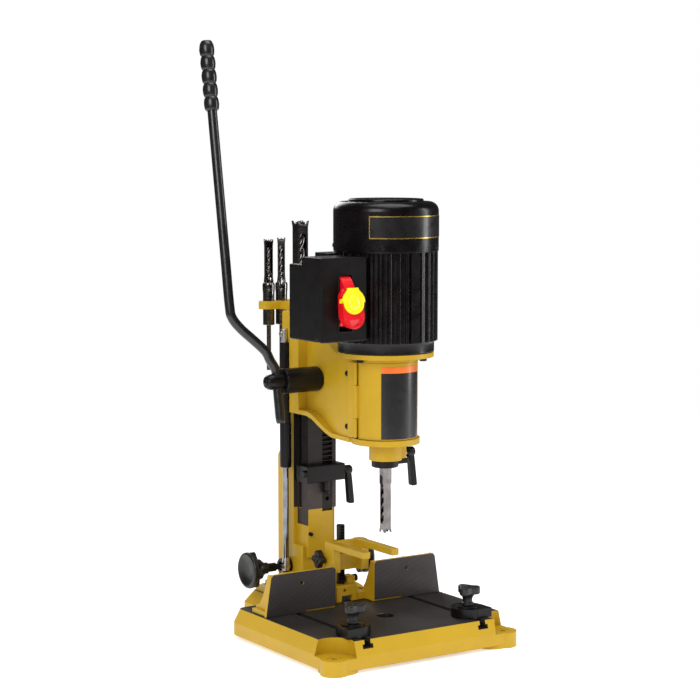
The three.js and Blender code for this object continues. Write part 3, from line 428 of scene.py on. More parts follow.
    def scored(self, *heights: float) -> "Shape":
        """Splits the faces at heights, so that each side can have its own finish."""
        for height in heights:
            parts = [*self.mesh.verts, *self.mesh.edges, *self.mesh.faces]
            bmesh.ops.bisect_plane(self.mesh, geom=parts, dist=SCORE_DISTANCE, plane_co=(0, 0, height),
                                   plane_no=(0, 0, 1))
        return self

    def faced(self, index: int, chosen: Callable[[Vector, Vector], bool]) -> "Shape":
        """Gives faces another finish.

        Args:
            index: The finish's place in the piece's list.
            chosen: A test of a face's middle and normal.

        Returns:
            The shape itself.
        """
        for face in self.mesh.faces:
            if chosen(face.calc_center_median(), face.normal):
                face.material_index = index
        return self


def _scratch_object(name: str, mesh: bmesh.types.BMesh) -> bpy.types.Object:
    """Makes a short-lived object of a bmesh, which is used up."""
    data = bpy.data.meshes.new(name)
    mesh.to_mesh(data)
    mesh.free()
    scratch = bpy.data.objects.new(name, data)
    bpy.context.scene.collection.objects.link(scratch)
    return scratch


def tube(start: Point, end: Point, outer: float, inner: float, steps: int = 48) -> Shape:
    """A round tube between two points."""
    along = Vector(end) - Vector(start)
    profile = [(inner, 0), (outer, 0), (outer, along.length), (inner, along.length)]
    turn = Vector((0, 0, 1)).rotation_difference(along.normalized())
    return Shape.turned(profile, steps=steps).turned_by(turn).moved(start)


def socket_screw(at: Point, axis: Axis, radius: float, height: float) -> Shape:
    """A cylindrical screw head with a hexagonal socket, its underside at a point."""
    head = Shape.turned(
        [(0, 0), (radius, 0), (radius, height * 0.88), (radius * 0.94, height), (radius * 0.62, height),
         (radius * 0.56, height * 0.94), (0, height * 0.94)], steps=32)
    hexagon = Shape.prism(arc((0, 0), radius * 0.52, 0, 300, 5), Plane.XY, (height * 0.35, height * 1.2))
    return head.minus(hexagon).pointed(axis, at)


def button_screw(at: Point, axis: Axis, radius: float) -> Shape:
    """A domed screw head with a cross recess, its underside at a point."""
    dome = [(0, 0), (radius, 0), (radius, radius * 0.12)]
    dome += [(radius * math.cos(a), radius * (0.12 + 0.42 * math.sin(a))) for a in (0.4, 0.8, 1.15)]
    head = Shape.turned([*dome, (0, radius * 0.54)], steps=28)
    arm, slot = radius * 0.55, radius * 0.12
    depth = (radius * 0.3, radius)
    cross = [Shape.block((-arm, arm), (-slot, slot), depth), Shape.block((-slot, slot), (-arm, arm), depth)]
    return head.minus(*cross).pointed(axis, at)


def hex_nut(at: Point, axis: Axis, across: float, height: float, bore: float) -> Shape:
    """A hexagonal nut with chamfered corners, its underside at a point."""
    corner = across / math.sqrt(3)
    nut = Shape.prism(arc((0, 0), corner, 0, 300, 5), Plane.XY, (0, height))
    half = across / 2
    chamfer = Shape.turned([(0, 0), (half, 0), (corner + 0.2, 0.7), (corner + 0.2, height - 0.7),
                            (half, height), (0, height)], steps=36)
    hole = Shape.rod((0, 0, -1), (0, 0, height + 1), bore, steps=24)
    return nut.common(chamfer).minus(hole).pointed(axis, at)


# ---------------------------------------------------------------------------------------------
# Finishes
# ---------------------------------------------------------------------------------------------


class Recipe:
    """A material's node tree in the making, with the object's own coordinates to hand."""

    def __init__(self, name: str) -> None:
        """Starts a material with one shader."""
        self.material = bpy.data.materials.new(name)
        self.material.use_nodes = True
        self.tree = self.material.node_tree
        self.shader = self.tree.nodes["Principled BSDF"]
        self.where = self.tree.nodes.new("ShaderNodeTexCoord").outputs["Object"]

    def set(self, **values: float | tuple[float, ...]) -> None:
        """Sets the shader's own sockets. An underscore in a name stands for a space."""
        for name, value in values.items():
            self.shader.inputs[name.replace("_", " ")].default_value = value

    def link(self, source: bpy.types.NodeSocket, target: bpy.types.NodeSocket) -> None:
        """Joins two sockets."""
        self.tree.links.new(source, target)

    def stretched(self, scale: Point) -> bpy.types.NodeSocket:
        """The object's coordinates, multiplied along each axis."""
        node = self.tree.nodes.new("ShaderNodeMapping")
        node.inputs["Scale"].default_value = scale
        self.link(self.where, node.inputs["Vector"])
        return node.outputs["Vector"]

    def noise(self, scale: float, detail: float = 4.0, stretch: Point | None = None) -> bpy.types.NodeSocket:
        """A noise whose features are about 1 / scale metres across."""
        node = self.tree.nodes.new("ShaderNodeTexNoise")
        node.inputs["Scale"].default_value = scale
        node.inputs["Detail"].default_value = detail
        self.link(self.stretched(stretch) if stretch else self.where, node.inputs["Vector"])
        return node.outputs["Fac"]

    def ranged(self, source: bpy.types.NodeSocket, low: float, high: float,
               start: float = 0.3, end: float = 0.7) -> bpy.types.NodeSocket:
        """Maps a socket from start..end to low..high."""
        node = self.tree.nodes.new("ShaderNodeMapRange")
        for name, value in (("From Min", start), ("From Max", end), ("To Min", low), ("To Max", high)):
            node.inputs[name].default_value = value
        self.link(source, node.inputs["Value"])
        return node.outputs["Result"]

    def blended(self, factor: bpy.types.NodeSocket, first: Point, second: Point) -> bpy.types.NodeSocket:
        """A colour between two, by a factor."""
        node = self.tree.nodes.new("ShaderNodeMix")
        node.data_type = "RGBA"
        node.inputs[6].default_value = (*first, 1.0)
        node.inputs[7].default_value = (*second, 1.0)
        self.link(factor, node.inputs[0])
        return node.outputs[2]

    def bumped(self, layers: Sequence[tuple[bpy.types.NodeSocket, float]], edge: float = 0.0) -> None:
        """Gives the shader a surface of several bumps.

        Args:
            layers: Each bump's height socket and its depth in metres.
            edge: How far the look of a round edge reaches, in metres. None is drawn at 0.
        """
        normal = None
        if edge:
            bevel = self.tree.nodes.new("ShaderNodeBevel")
            bevel.samples = 4
            bevel.inputs["Radius"].default_value = edge
            normal = bevel.outputs["Normal"]
        for height, depth in layers:
            node = self.tree.nodes.new("ShaderNodeBump")
            node.inputs["Distance"].default_value = depth
            self.link(height, node.inputs["Height"])
            if normal is not None:
                self.link(normal, node.inputs["Normal"])
            normal = node.outputs["Normal"]
        if normal is not None:
            self.link(normal, self.shader.inputs["Normal"])


@dataclass(frozen=True)
class Enamel:
    """Brushed-on paint over a cast surface: slightly lumpy, glossy and a little uneven in colour."""

    name: str
    colour: Point
    shade: Point
    roughness: float = 0.3
    lumps: float = 0.00022
    edge: float = 0.0012
    gloss: float = 0.28

    def material(self) -> bpy.types.Material:
        """Builds the finish."""
        recipe = Recipe(self.name)
        patches = recipe.ranged(recipe.noise(14, 5), 0, 1)
        recipe.link(recipe.blended(patches, self.shade, self.colour), recipe.shader.inputs["Base Color"])
        worn = recipe.ranged(recipe.noise(60, 6), self.roughness - 0.05, self.roughness + 0.09)
        recipe.link(worn, recipe.shader.inputs["Roughness"])
        recipe.set(Coat_Weight=self.gloss * 0.4, Coat_Roughness=0.16, Specular_IOR_Level=self.gloss)
        lumps, grain = recipe.noise(240, 3), recipe.noise(1500, 2)
        recipe.bumped([(lumps, self.lumps), (grain, self.lumps * 0.12)], self.edge)
        return recipe.material


@dataclass(frozen=True)
class MachinedIron:
    """Iron that was ground or milled, with the marks along one direction and a thin oil film."""

    name: str
    colour: Point
    shade: Point
    marks: Point
    roughness: float = 0.42
    metallic: float = 0.75
    depth: float = 0.00006

    def material(self) -> bpy.types.Material:
        """Builds the finish."""
        recipe = Recipe(self.name)
        grain = recipe.noise(1.0, 5, self.marks)
        cloud = recipe.ranged(recipe.noise(22, 5), 0, 1)
        recipe.link(recipe.blended(cloud, self.shade, self.colour), recipe.shader.inputs["Base Color"])
        sheen = recipe.ranged(grain, self.roughness - 0.1, self.roughness + 0.12)
        recipe.link(sheen, recipe.shader.inputs["Roughness"])
        recipe.set(Metallic=self.metallic)
        recipe.bumped([(grain, self.depth)], 0.0004)
        return recipe.material


@dataclass(frozen=True)
class GroovedIron:
    """A dark plate with fine even grooves across it, with painted shade in the grooves."""

    name: str
    colour: Point
    pitch: float
    lean: float

    def material(self) -> bpy.types.Material:
        """Builds the finish."""
        recipe = Recipe(self.name)
        turn = recipe.tree.nodes.new("ShaderNodeMapping")
        turn.inputs["Rotation"].default_value = (0, math.radians(self.lean), 0)
        recipe.link(recipe.where, turn.inputs["Vector"])
        wave = recipe.tree.nodes.new("ShaderNodeTexWave")
        wave.bands_direction = "X"
        wave.inputs["Scale"].default_value = 0.314 / self.pitch
        wave.inputs["Distortion"].default_value = 0.25
        wave.inputs["Detail Scale"].default_value = 2.0
        recipe.link(turn.outputs["Vector"], wave.inputs["Vector"])
        groove = wave.outputs["Fac"]
        # Painted shade: the groove bottoms are coloured darker, following the same wave as their bumps.
        dark = tuple(0.45 * c for c in self.colour)
        recipe.link(recipe.blended(groove, dark, self.colour), recipe.shader.inputs["Base Color"])
        recipe.link(recipe.ranged(recipe.noise(40, 5), 0.36, 0.5), recipe.shader.inputs["Roughness"])
        recipe.set(Metallic=0.7)
        recipe.bumped([(groove, 0.00022), (recipe.noise(700, 3), 0.00003)], 0.0005)
        return recipe.material


@dataclass(frozen=True)
class BrightMetal:
    """Turned, ground or plated metal."""

    name: str
    colour: Point
    roughness: float
    marks: Point = (300.0, 300.0, 2500.0)
    depth: float = 0.00002

    def material(self) -> bpy.types.Material:
        """Builds the finish."""
        recipe = Recipe(self.name)
        grain = recipe.noise(1.0, 4, self.marks)
        stained = tuple(0.72 * c for c in self.colour)
        stain = recipe.ranged(recipe.noise(70, 5), 0, 1, 0.35, 0.6)
        recipe.link(recipe.blended(stain, stained, self.colour), recipe.shader.inputs["Base Color"])
        recipe.link(recipe.ranged(grain, self.roughness * 0.8, self.roughness * 1.35),
                    recipe.shader.inputs["Roughness"])
        recipe.set(Metallic=1.0)
        recipe.bumped([(grain, self.depth)], 0.0003)
        return recipe.material


@dataclass(frozen=True)
class Moulding:
    """Moulded plastic or rubber with a fine grained skin."""

    name: str
    colour: Point
    roughness: float
    grain: float = 0.00003
    coat: float = 0.0

    def material(self) -> bpy.types.Material:
        """Builds the finish."""
        recipe = Recipe(self.name)
        pale = tuple(min(1.0, 1.35 * c + 0.004) for c in self.colour)
        handled = recipe.ranged(recipe.noise(35, 4), 0, 1)
        recipe.link(recipe.blended(handled, self.colour, pale), recipe.shader.inputs["Base Color"])
        recipe.link(recipe.ranged(recipe.noise(90, 4), self.roughness - 0.05, self.roughness + 0.08),
                    recipe.shader.inputs["Roughness"])
        recipe.set(Coat_Weight=self.coat, Coat_Roughness=0.12)
        recipe.bumped([(recipe.noise(1400, 2), self.grain)], 0.0005)
        return recipe.material


class Finish(Enum):
    """Every finish on the machine."""

    YELLOW = Enamel("yellow enamel", (0.57, 0.35, 0.014), (0.52, 0.315, 0.012), roughness=0.38)
    MOTOR = Enamel("black motor enamel", (0.003, 0.0015, 0.0025), (0.004, 0.0025, 0.003),
                   roughness=0.26, lumps=0.00008, edge=0.0006, gloss=0.32)
    BLACK_STEEL = Enamel("black steel", (0.005, 0.004, 0.0042), (0.008, 0.0065, 0.0065),
                         roughness=0.3, lumps=0.00005, edge=0.0005, gloss=0.22)
    SWITCH = Enamel("black powder coat", (0.005, 0.0038, 0.0038), (0.007, 0.006, 0.006),
                    roughness=0.36, lumps=0.00009, edge=0.0006, gloss=0.22)
    TABLE = MachinedIron("ground table iron", (0.052, 0.045, 0.042), (0.038, 0.033, 0.031),
                         (1800, 60, 60), roughness=0.5, metallic=0.45)
    WAYS = MachinedIron("scraped column ways", (0.03, 0.026, 0.024), (0.018, 0.015, 0.014),
                        (60, 60, 900), roughness=0.36, metallic=0.6)
    GROUND = MachinedIron("bare ground iron", (0.075, 0.06, 0.056), (0.055, 0.043, 0.04),
                          (60, 60, 900), roughness=0.4, metallic=0.5)
    RACK = MachinedIron("oiled rack steel", (0.045, 0.038, 0.036), (0.014, 0.011, 0.01),
                        (2200, 300, 300), roughness=0.36, metallic=0.8)
    PLATE = GroovedIron("grooved fence face", (0.085, 0.072, 0.072), 0.0021, 14.0)
    STEEL = BrightMetal("bright steel", (0.4, 0.38, 0.38), 0.22)
    CHISEL = BrightMetal("polished tool steel", (0.27, 0.25, 0.245), 0.15, (60.0, 60.0, 500.0), 0.000008)
    ZINC = BrightMetal("zinc-plated fastener", (0.66, 0.66, 0.64), 0.3, (900.0, 900.0, 900.0))
    CHROME = BrightMetal("hard chrome", (0.26, 0.27, 0.31), 0.1, (200.0, 200.0, 200.0), 0.000004)
    BRASS = BrightMetal("gib brass", (0.6, 0.42, 0.15), 0.3)
    COPPER = BrightMetal("varnished windings", (0.5, 0.2, 0.07), 0.38, (700.0, 700.0, 150.0), 0.0002)
    GOLD = BrightMetal("gold border", (0.72, 0.5, 0.12), 0.3, (600.0, 600.0, 600.0))
    KNOB = Moulding("black knob plastic", (0.009, 0.008, 0.008), 0.36, 0.00005)
    GRIP = Moulding("ribbed grip", (0.007, 0.007, 0.008), 0.3, 0.00002, 0.3)
    FAN = Moulding("fan plastic", (0.03, 0.03, 0.03), 0.55)
    RED = Moulding("red paddle", (0.62, 0.003, 0.009), 0.24, 0.00001, 0.4)
    KEY = Moulding("yellow key", (0.93, 0.68, 0.005), 0.26, 0.00001, 0.4)
    BLANK_BLACK = Moulding("blank black plate", (0.006, 0.005, 0.005), 0.3, 0.000005, 0.3)
    BLANK_ORANGE = Moulding("blank orange band", (0.78, 0.16, 0.015), 0.34, 0.000005, 0.2)


class Slot(Enum):
    """The record's material slots."""

    YELLOW = "yellow_paint"
    BLACK = "black_paint"
    MOTOR = "motor_enamel"
    IRON = "ground_iron"
    STEEL = "steel"
    CHROME = "chrome_rod"
    PLASTIC = "black_plastic"
    RED = "red_plastic"
    KEY = "key_plastic"
    BRASS = "gib_brass"


# ---------------------------------------------------------------------------------------------
# Workshop
# ---------------------------------------------------------------------------------------------


class Workshop:
    """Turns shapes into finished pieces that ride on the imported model."""

    def __init__(self) -> None:
        """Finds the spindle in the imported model."""
        low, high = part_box("rotor_shaft")
        self.datum = Vector(((low.x + high.x) / 2, (low.y + high.y) / 2, 0.0))
        self.materials: dict[Finish, bpy.types.Material] = {}
        self.count = 0

    def material(self, finish: Finish) -> bpy.types.Material:
        """The material of a finish, made once."""
        if finish not in self.materials:
            self.materials[finish] = finish.value.material()
        return self.materials[finish]

    def piece(self, name: str, shape: Shape, finish: Finish | Sequence[Finish], body: str, slot: Slot,
              nodes: Sequence[str] = (), crease: float = 38.0) -> bpy.types.Object:
        """Makes a shape into a piece.

        Args:
            name: The piece's name.
            shape: Its shape in millimetres. It is used up.
            finish: Its finish, or a list whose places the shape's faces name.
            body: The body that it rides on.
            slot: The record's slot for the piece. It is not used.
            nodes: The nodes that it stands for.
            crease: Faces that meet at more than this many degrees keep a hard edge.

        Returns:
            The piece.
        """
        mesh = shape.mesh
        bmesh.ops.scale(mesh, vec=(MM, MM, MM), verts=mesh.verts)
        bmesh.ops.translate(mesh, vec=self.datum, verts=mesh.verts)
        limit = math.radians(crease)
        for face in mesh.faces:
            face.smooth = True
        for edge in mesh.edges:
            edge.smooth = edge.calc_face_angle(math.pi) < limit
        data = bpy.data.meshes.new(name)
        mesh.to_mesh(data)
        mesh.free()
        made = bpy.data.objects.new(name, data)
        bpy.context.scene.collection.objects.link(made)
        for each in [finish] if isinstance(finish, Finish) else finish:
            data.materials.append(self.material(each))
        weighted = made.modifiers.new("even shading", "WEIGHTED_NORMAL")
        weighted.keep_sharp = True
        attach(made, body)
        if nodes:
            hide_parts(*nodes)
        self.count += 1
        LOG.info("%s rides on %s with %d faces", name, body, len(data.polygons))
        return made

    def keep(self, nodes: dict[str, bpy.types.Object], names: Iterable[str], finish: Finish) -> None:
        """Gives nodes that stay as they are a finish."""
        for name in names:
            data = nodes[name].data
            data.materials.clear()
            data.materials.append(self.material(finish))
            LOG.info("%s keeps its shape", name)


# ---------------------------------------------------------------------------------------------
# Base, column and stored tools
# ---------------------------------------------------------------------------------------------


def level(points: Sequence[Flat], z: float) -> list[Vector]:
    """An outline's points at a height."""
    return [Vector((x, y, z)) for x, y in points]


@dataclass
class Base:
    """The cast base, whose ground top is the table."""

    shop: Workshop
    top: float = 48.5
    half_width: float = 168.5
    front: float = -109.0
    rear: float = 170.0
    flare: float = 6.0
    rear_flare: float = 14.0
    slot_x: float = 107.0
    ear_x: float = 157.0
    ear_y: float = -97.0
    seat: float = 24.0

    def build(self) -> None:
        """Makes every piece of the base."""
        self.casting()
        self.chip_thread()

    def blank(self) -> Shape:
        """The base's outside, before anything is cut into its top."""
        sides = rounded_rectangle((-self.half_width, self.half_width), (self.front, self.rear), 12)
        reach = self.half_width + self.flare
        skirt = rounded_rectangle((-reach, reach), (self.front - self.flare, self.rear + self.rear_flare), 18)
        table = Shape.lofted([level(skirt, 6), level(skirt, 26), level(sides, self.top)])
        behind = rounded_rectangle((-98, 98), (100, 282), 18)
        crown = rounded_rectangle((-82, 82), (105, 272), 12)
        tail = Shape.lofted([level(behind, 6), level(behind, 30), level(crown, self.top)])
        extras: list[Shape] = []
        pockets: list[Shape] = []
        for side in (-1, 1):
            x = side * self.ear_x
            extras.append(Shape.rod((x, self.ear_y, 0), (x, self.ear_y, self.seat), 21.5, 64))
            extras.append(Shape.rod((side * 143, -85, 0), (side * 143, -85, 12), 30, 64))
            extras.append(Shape.rod((side * 66, 250, 0), (side * 66, 250, 12), 30, 64))
            pockets.append(Shape.rod((x, self.ear_y, self.seat), (x, self.ear_y, 60), 33, 64, end_radius=27))
        return table.plus(tail, *extras).minus(*pockets).rounded(2.2, 3, 28)

    def cells(self) -> list[Shape]:
        """The hollows between the ribs underneath."""
        rows = ((-58, 16), (24, 96), (104, 158))
        made = [Shape.block(x, y, (-1, 30), 3) for x in ((-158, -90), (90, 158)) for y in rows]
        deep = ((-104, -66), *rows, (166, 214))
        made += [Shape.block(x, y, (-1, 38), 3) for x in ((-82, -4), (4, 82)) for y in deep]
        made += [Shape.block(x, (222, 266), (-1, 38), 3) for x in ((-32, -4), (4, 32))]
        return made

    def slots(self) -> list[Shape]:
        """The two T-slots and the holes from above."""
        made = [Shape.rod((0, 0, 20), (0, 0, 60), 14.4, 64)]
        for side in (-1, 1):
            middle = side * self.slot_x
            made.append(Shape.block((middle - 5.3, middle + 5.3), (-130, 122), (41.5, 60)))
            made.append(Shape.block((middle - 9.2, middle + 9.2), (-130, 126), (35.5, 42)))
            made.append(Shape.rod((side * self.ear_x, self.ear_y, -1),
                                  (side * self.ear_x, self.ear_y, 40), 5, 36))
            made.append(Shape.rod((side * self.ear_x, self.ear_y, self.seat - 0.8),
                                  (side * self.ear_x, self.ear_y, 40), 10.5, 48))
        return made

    def casting(self) -> None:
        """The casting, with its top and the walls of its slots ground."""
        shape = self.blank().minus(*self.slots(), *self.cells())

        def machined(middle: Vector, normal: Vector) -> bool:
            """Tells the ground faces from the painted ones."""
            on_top = normal.z > 0.99 and middle.z > self.top - 0.2 and middle.y < self.rear + 1
            by_slot = abs(abs(middle.x) - self.slot_x) < 9.3 and 35 < middle.z < self.top
            in_slot = by_slot and abs(normal.y) < 0.5
            in_hole = middle.xy.length < 15 and middle.z > 37
            return on_top or (in_slot and middle.y < 127) or in_hole

        shape.faced(1, machined)
        self.shop.piece("base_table_casting", shape, [Finish.YELLOW, Finish.TABLE], "base", Slot.YELLOW,
                        ["base_casting"], 12)

    def chip_thread(self) -> None:
        """The threaded wall of the hole under the chisel."""
        turns = [(14.3, 39.2), (14.3, 48.2), (13.9, 48.2)]
        height = 48.0
        while height > 40:
            turns += [(13.2, height - 0.4), (13.2, height - 0.7), (13.9, height - 1.1)]
            height -= 1.3
        thread = Shape.turned([*turns, (13.9, 39.2)], steps=64)
        self.shop.piece("chip_hole_thread", thread, Finish.RACK, "base", Slot.STEEL)


@dataclass
class Column:
    """The box column, its ways, its rack and what is fixed to it."""

    shop: Workshop
    front: float = 183.0
    half: float = 27.0
    body_half: float = 35.5
    top: float = 511.0
    shaft_y: float = 230.0
    shaft_z: float = 91.5

    def build(self) -> None:
        """Makes every piece of the column."""
        self.casting()
        self.rack()
        self.fittings()

    def casting(self) -> None:
        """The column and its foot in one casting."""
        foot_low = rounded_rectangle((-80, 80), (176, 270), 10)
        foot_high = rounded_rectangle((-71, 71), (184, 266.5), 8)
        foot = Shape.lofted([level(foot_low, 48.8), level(foot_low, 52), level(foot_high, 58)])
        outline = [(self.front + 33, 120), (265, 120), (265, 272), (250, 292), (250, self.top),
                   (self.front + 33, self.top)]
        back = Shape.prism(outline, Plane.YZ, (-self.body_half, self.body_half), 2.5, 3)
        lower = Shape.block((-self.body_half, self.body_half), (188, 265), (50, 130), 2.5, 3)
        ways = Shape.block((-self.half, self.half), (self.front, self.front + 34), (110, self.top), 0.8)
        lug = Shape.block((-54, -34), (210, 227), (50, 84), 2.5, 3)
        solid = foot.rounded(2.0, 3, 20).plus(lower, back, ways, lug)
        windows = [((232, 270), (135, 225)), ((228, 270), (235, 325)), ((222, 270), (335, 410)),
                   ((222, 270), (420, 490))]
        tools = [Shape.block((-26, 26), y, z, 3, 2) for y, z in windows]
        for side in (-1, 1):
            groove = sorted((side * (self.half - 8), side * (self.half + 1)))
            tools.append(Shape.block((groove[0], groove[1]), (203.4, 211), (189, self.top + 1)))
        tools += [
            Shape.block((0.2, 19.3), (self.front - 1, 193), (185, self.top + 1)),
            Shape.block((20, 40), (self.front - 1, 188), (109, 190)),
            Shape.block((-10, 10), (160, 300), (40, 71.5)),
            Shape.rod((-11, self.shaft_y, self.shaft_z), (11, self.shaft_y, self.shaft_z), 26, 48),
            Shape.rod((-60, self.shaft_y, self.shaft_z), (60, self.shaft_y, self.shaft_z), 7.6, 32),
        ]

        def machined(middle: Vector, normal: Vector) -> bool:
            """Tells the ways from the painted faces."""
            return middle.y < self.front + 33.5 and middle.z > 163 and (middle.z > 190 or abs(normal.x) > 0.9)

        def bare(middle: Vector, normal: Vector) -> bool:
            """Tells the brighter ground part under the stop."""
            return machined(middle, normal) and middle.z < 234

        shape = solid.minus(*tools).scored(163, 190, 234).faced(1, machined).faced(2, bare)
        self.shop.piece("column_with_ways", shape, [Finish.YELLOW, Finish.WAYS, Finish.GROUND], "base",
                        Slot.YELLOW, ["column_casting"])

    def rack(self) -> None:
        """The rack that the feed pinion climbs."""
        outline = rack_outline((250, 508), 192.4, self.front, 2.5, 409.5)
        outline = [(188, 192.4), (188, self.front), (250, self.front), *outline[1:]]
        strip = Shape.prism([(y, z) for z, y in outline], Plane.YZ, (0.5, 19), 0.35, 1)
        screws = [Shape.rod((9.75, 182, z), (9.75, 190, z), 3.4, 20) for z in (205, 493)]
        self.shop.piece("feed_rack", strip.minus(*screws), Finish.RACK, "base", Slot.IRON, ["column_rack"])

    def fittings(self) -> None:
        """Shaft bushings, the screws of the foot and the stop's strike stud."""
        for side, word in ((-1, "left"), (1, "right")):
            start = side * 35.6
            bush = Shape.turned([(7.5, 0), (13, 0), (13, 13.6), (11.6, 16.2), (7.5, 16.2)], steps=48)
            axis = Axis.X if side > 0 else Axis.MINUS_X
            bush.pointed(axis, (start, self.shaft_y, self.shaft_z))
            self.shop.piece(f"shaft_bushing_{word}", bush, Finish.BLACK_STEEL, "base", Slot.BLACK)
            for y, place in ((198, "front"), (254, "rear")):
                screw = socket_screw((side * 59, y, 58.2), Axis.Z, 6.5, 6.5)
                self.shop.piece(f"foot_screw_{place}_{word}", screw, Finish.BLACK_STEEL, "base", Slot.BLACK)
        stud = Shape.rod((-24, 183.2, 150), (-24, 176.5, 150), 3.2, 24, 0.8)
        self.shop.piece("strike_stud", stud, Finish.RACK, "base", Slot.STEEL)


@dataclass(frozen=True)
class ToolSize:
    """The sizes of a hollow chisel and its bit.

    Attributes:
        side: The width of the square body.
        shank: The radius of the bulge where the body meets the shank.
        bore: The radius of the hole for the bit.
        bit: The bit's radius.
        tip: The height of the points.
        shoulder: The height where the square body ends.
        shank_end: The height of the shank's end.
        neck: The shank's radius beyond the bulge.
        window_end: The height where the chip window ends, on the shank's side.
    """

    side: float
    shank: float
    bore: float
    bit: float
    tip: float
    shoulder: float
    shank_end: float
    neck: float
    window_end: float


def hollow_chisel(size: ToolSize) -> Shape:
    """A hollow chisel on the spindle's axis, its tip down.

    Args:
        size: Its sizes.

    Returns:
        The chisel, with the round bore, the long chip window on its -X face and four sharpened points.
    """
    half, taper = size.side / 2, 14.0
    flare = half + size.side * 0.055

    def square(reach: float, z: float, chamfer: float) -> list[Vector]:
        """A square loop with small corner flats."""
        return level(rounded_rectangle((-reach, reach), (-reach, reach), chamfer, 3), z)

    stations = [(flare, size.tip), (flare, size.tip + 2), (half, size.tip + 10),
                (half, size.shoulder - taper)]
    loops = [square(reach, z, 0.35) for reach, z in stations]
    loops.append(square(size.shank * 0.72, size.shoulder - 1.5, 3.0))
    loops.append(square(size.shank * 0.72, size.shoulder, 3.0))
    body = Shape.lofted(loops)
    shank = Shape.turned([(0, size.shoulder - 3), (size.shank - 1.2, size.shoulder - 2),
                          (size.shank, size.shoulder + 1), (size.shank, size.shoulder + 8),
                          (size.neck, size.shoulder + 15), (size.neck, size.shank_end - 0.6),
                          (size.neck - 0.6, size.shank_end), (0, size.shank_end)], steps=48)
    window = rounded_rectangle((-half * 0.68, half * 0.68), (size.tip + size.side * 1.1, size.window_end),
                               half * 0.6, 6)
    tools = [
        Shape.rod((0, 0, size.tip - 5), (0, 0, size.shank_end + 5), size.bore, 40),
        Shape.prism(window, Plane.YZ, (-30, 0)),
        Shape.turned([(0, 0), (size.side * 0.62, 0), (size.bore, size.side * 0.5), (0, size.side * 0.5)],
                     (0, 0, size.tip - 0.5), steps=40),
    ]
    for turn in (0, 90):
        notch = Shape.rod((0, -30, 0), (0, 30, 0), size.side * 0.42, 32)
        notch.turned_by(Quaternion((0, 0, 1), math.radians(turn))).moved((0, 0, size.tip - size.side * 0.08))
        tools.append(notch)
    return body.plus(shank).minus(*tools)


def auger_bit(tip: float, end: float, radius: float, shank: float, way: int = 1) -> Shape:
    """A twist bit with two flutes, two cutting lips and a centre point.

    Args:
        tip: The height of its point.
        end: The height of its shank's end.
        radius: The radius over the flutes.
        shank: The shank's radius.
        way: 1 where the point is down, -1 where it is up.

    Returns:
        The bit, on the spindle's axis.
    """
    length, levels, sides = 70.0, 72, 28
    loops: list[list[Vector]] = []
    for i in range(levels + 1):
        height = length * i / levels
        turn = height * 2.2 / (radius * 2)
        loop: list[Vector] = []
        for k in range(sides):
            angle = 2 * math.pi * k / sides
            web = abs(math.cos(angle)) ** 0.6
            reach = radius * (0.36 + 0.64 * web)
            loop.append(Vector((reach * math.cos(angle + turn), reach * math.sin(angle + turn), height)))
        loops.append(loop)
    flutes = Shape.lofted(loops).moved((0, 0, 3))
    point = Shape.turned([(0, 0), (radius * 0.28, 3.4), (0, 3.4)], steps=20)
    rod = Shape.rod((0, 0, length + 2), (0, 0, abs(end - tip)), shank, 32, 0.5)
    bit = flutes.beside(point, rod)
    if way < 0:
        bit.turned_by(Quaternion((1, 0, 0), math.pi))
    return bit.moved((0, 0, tip))


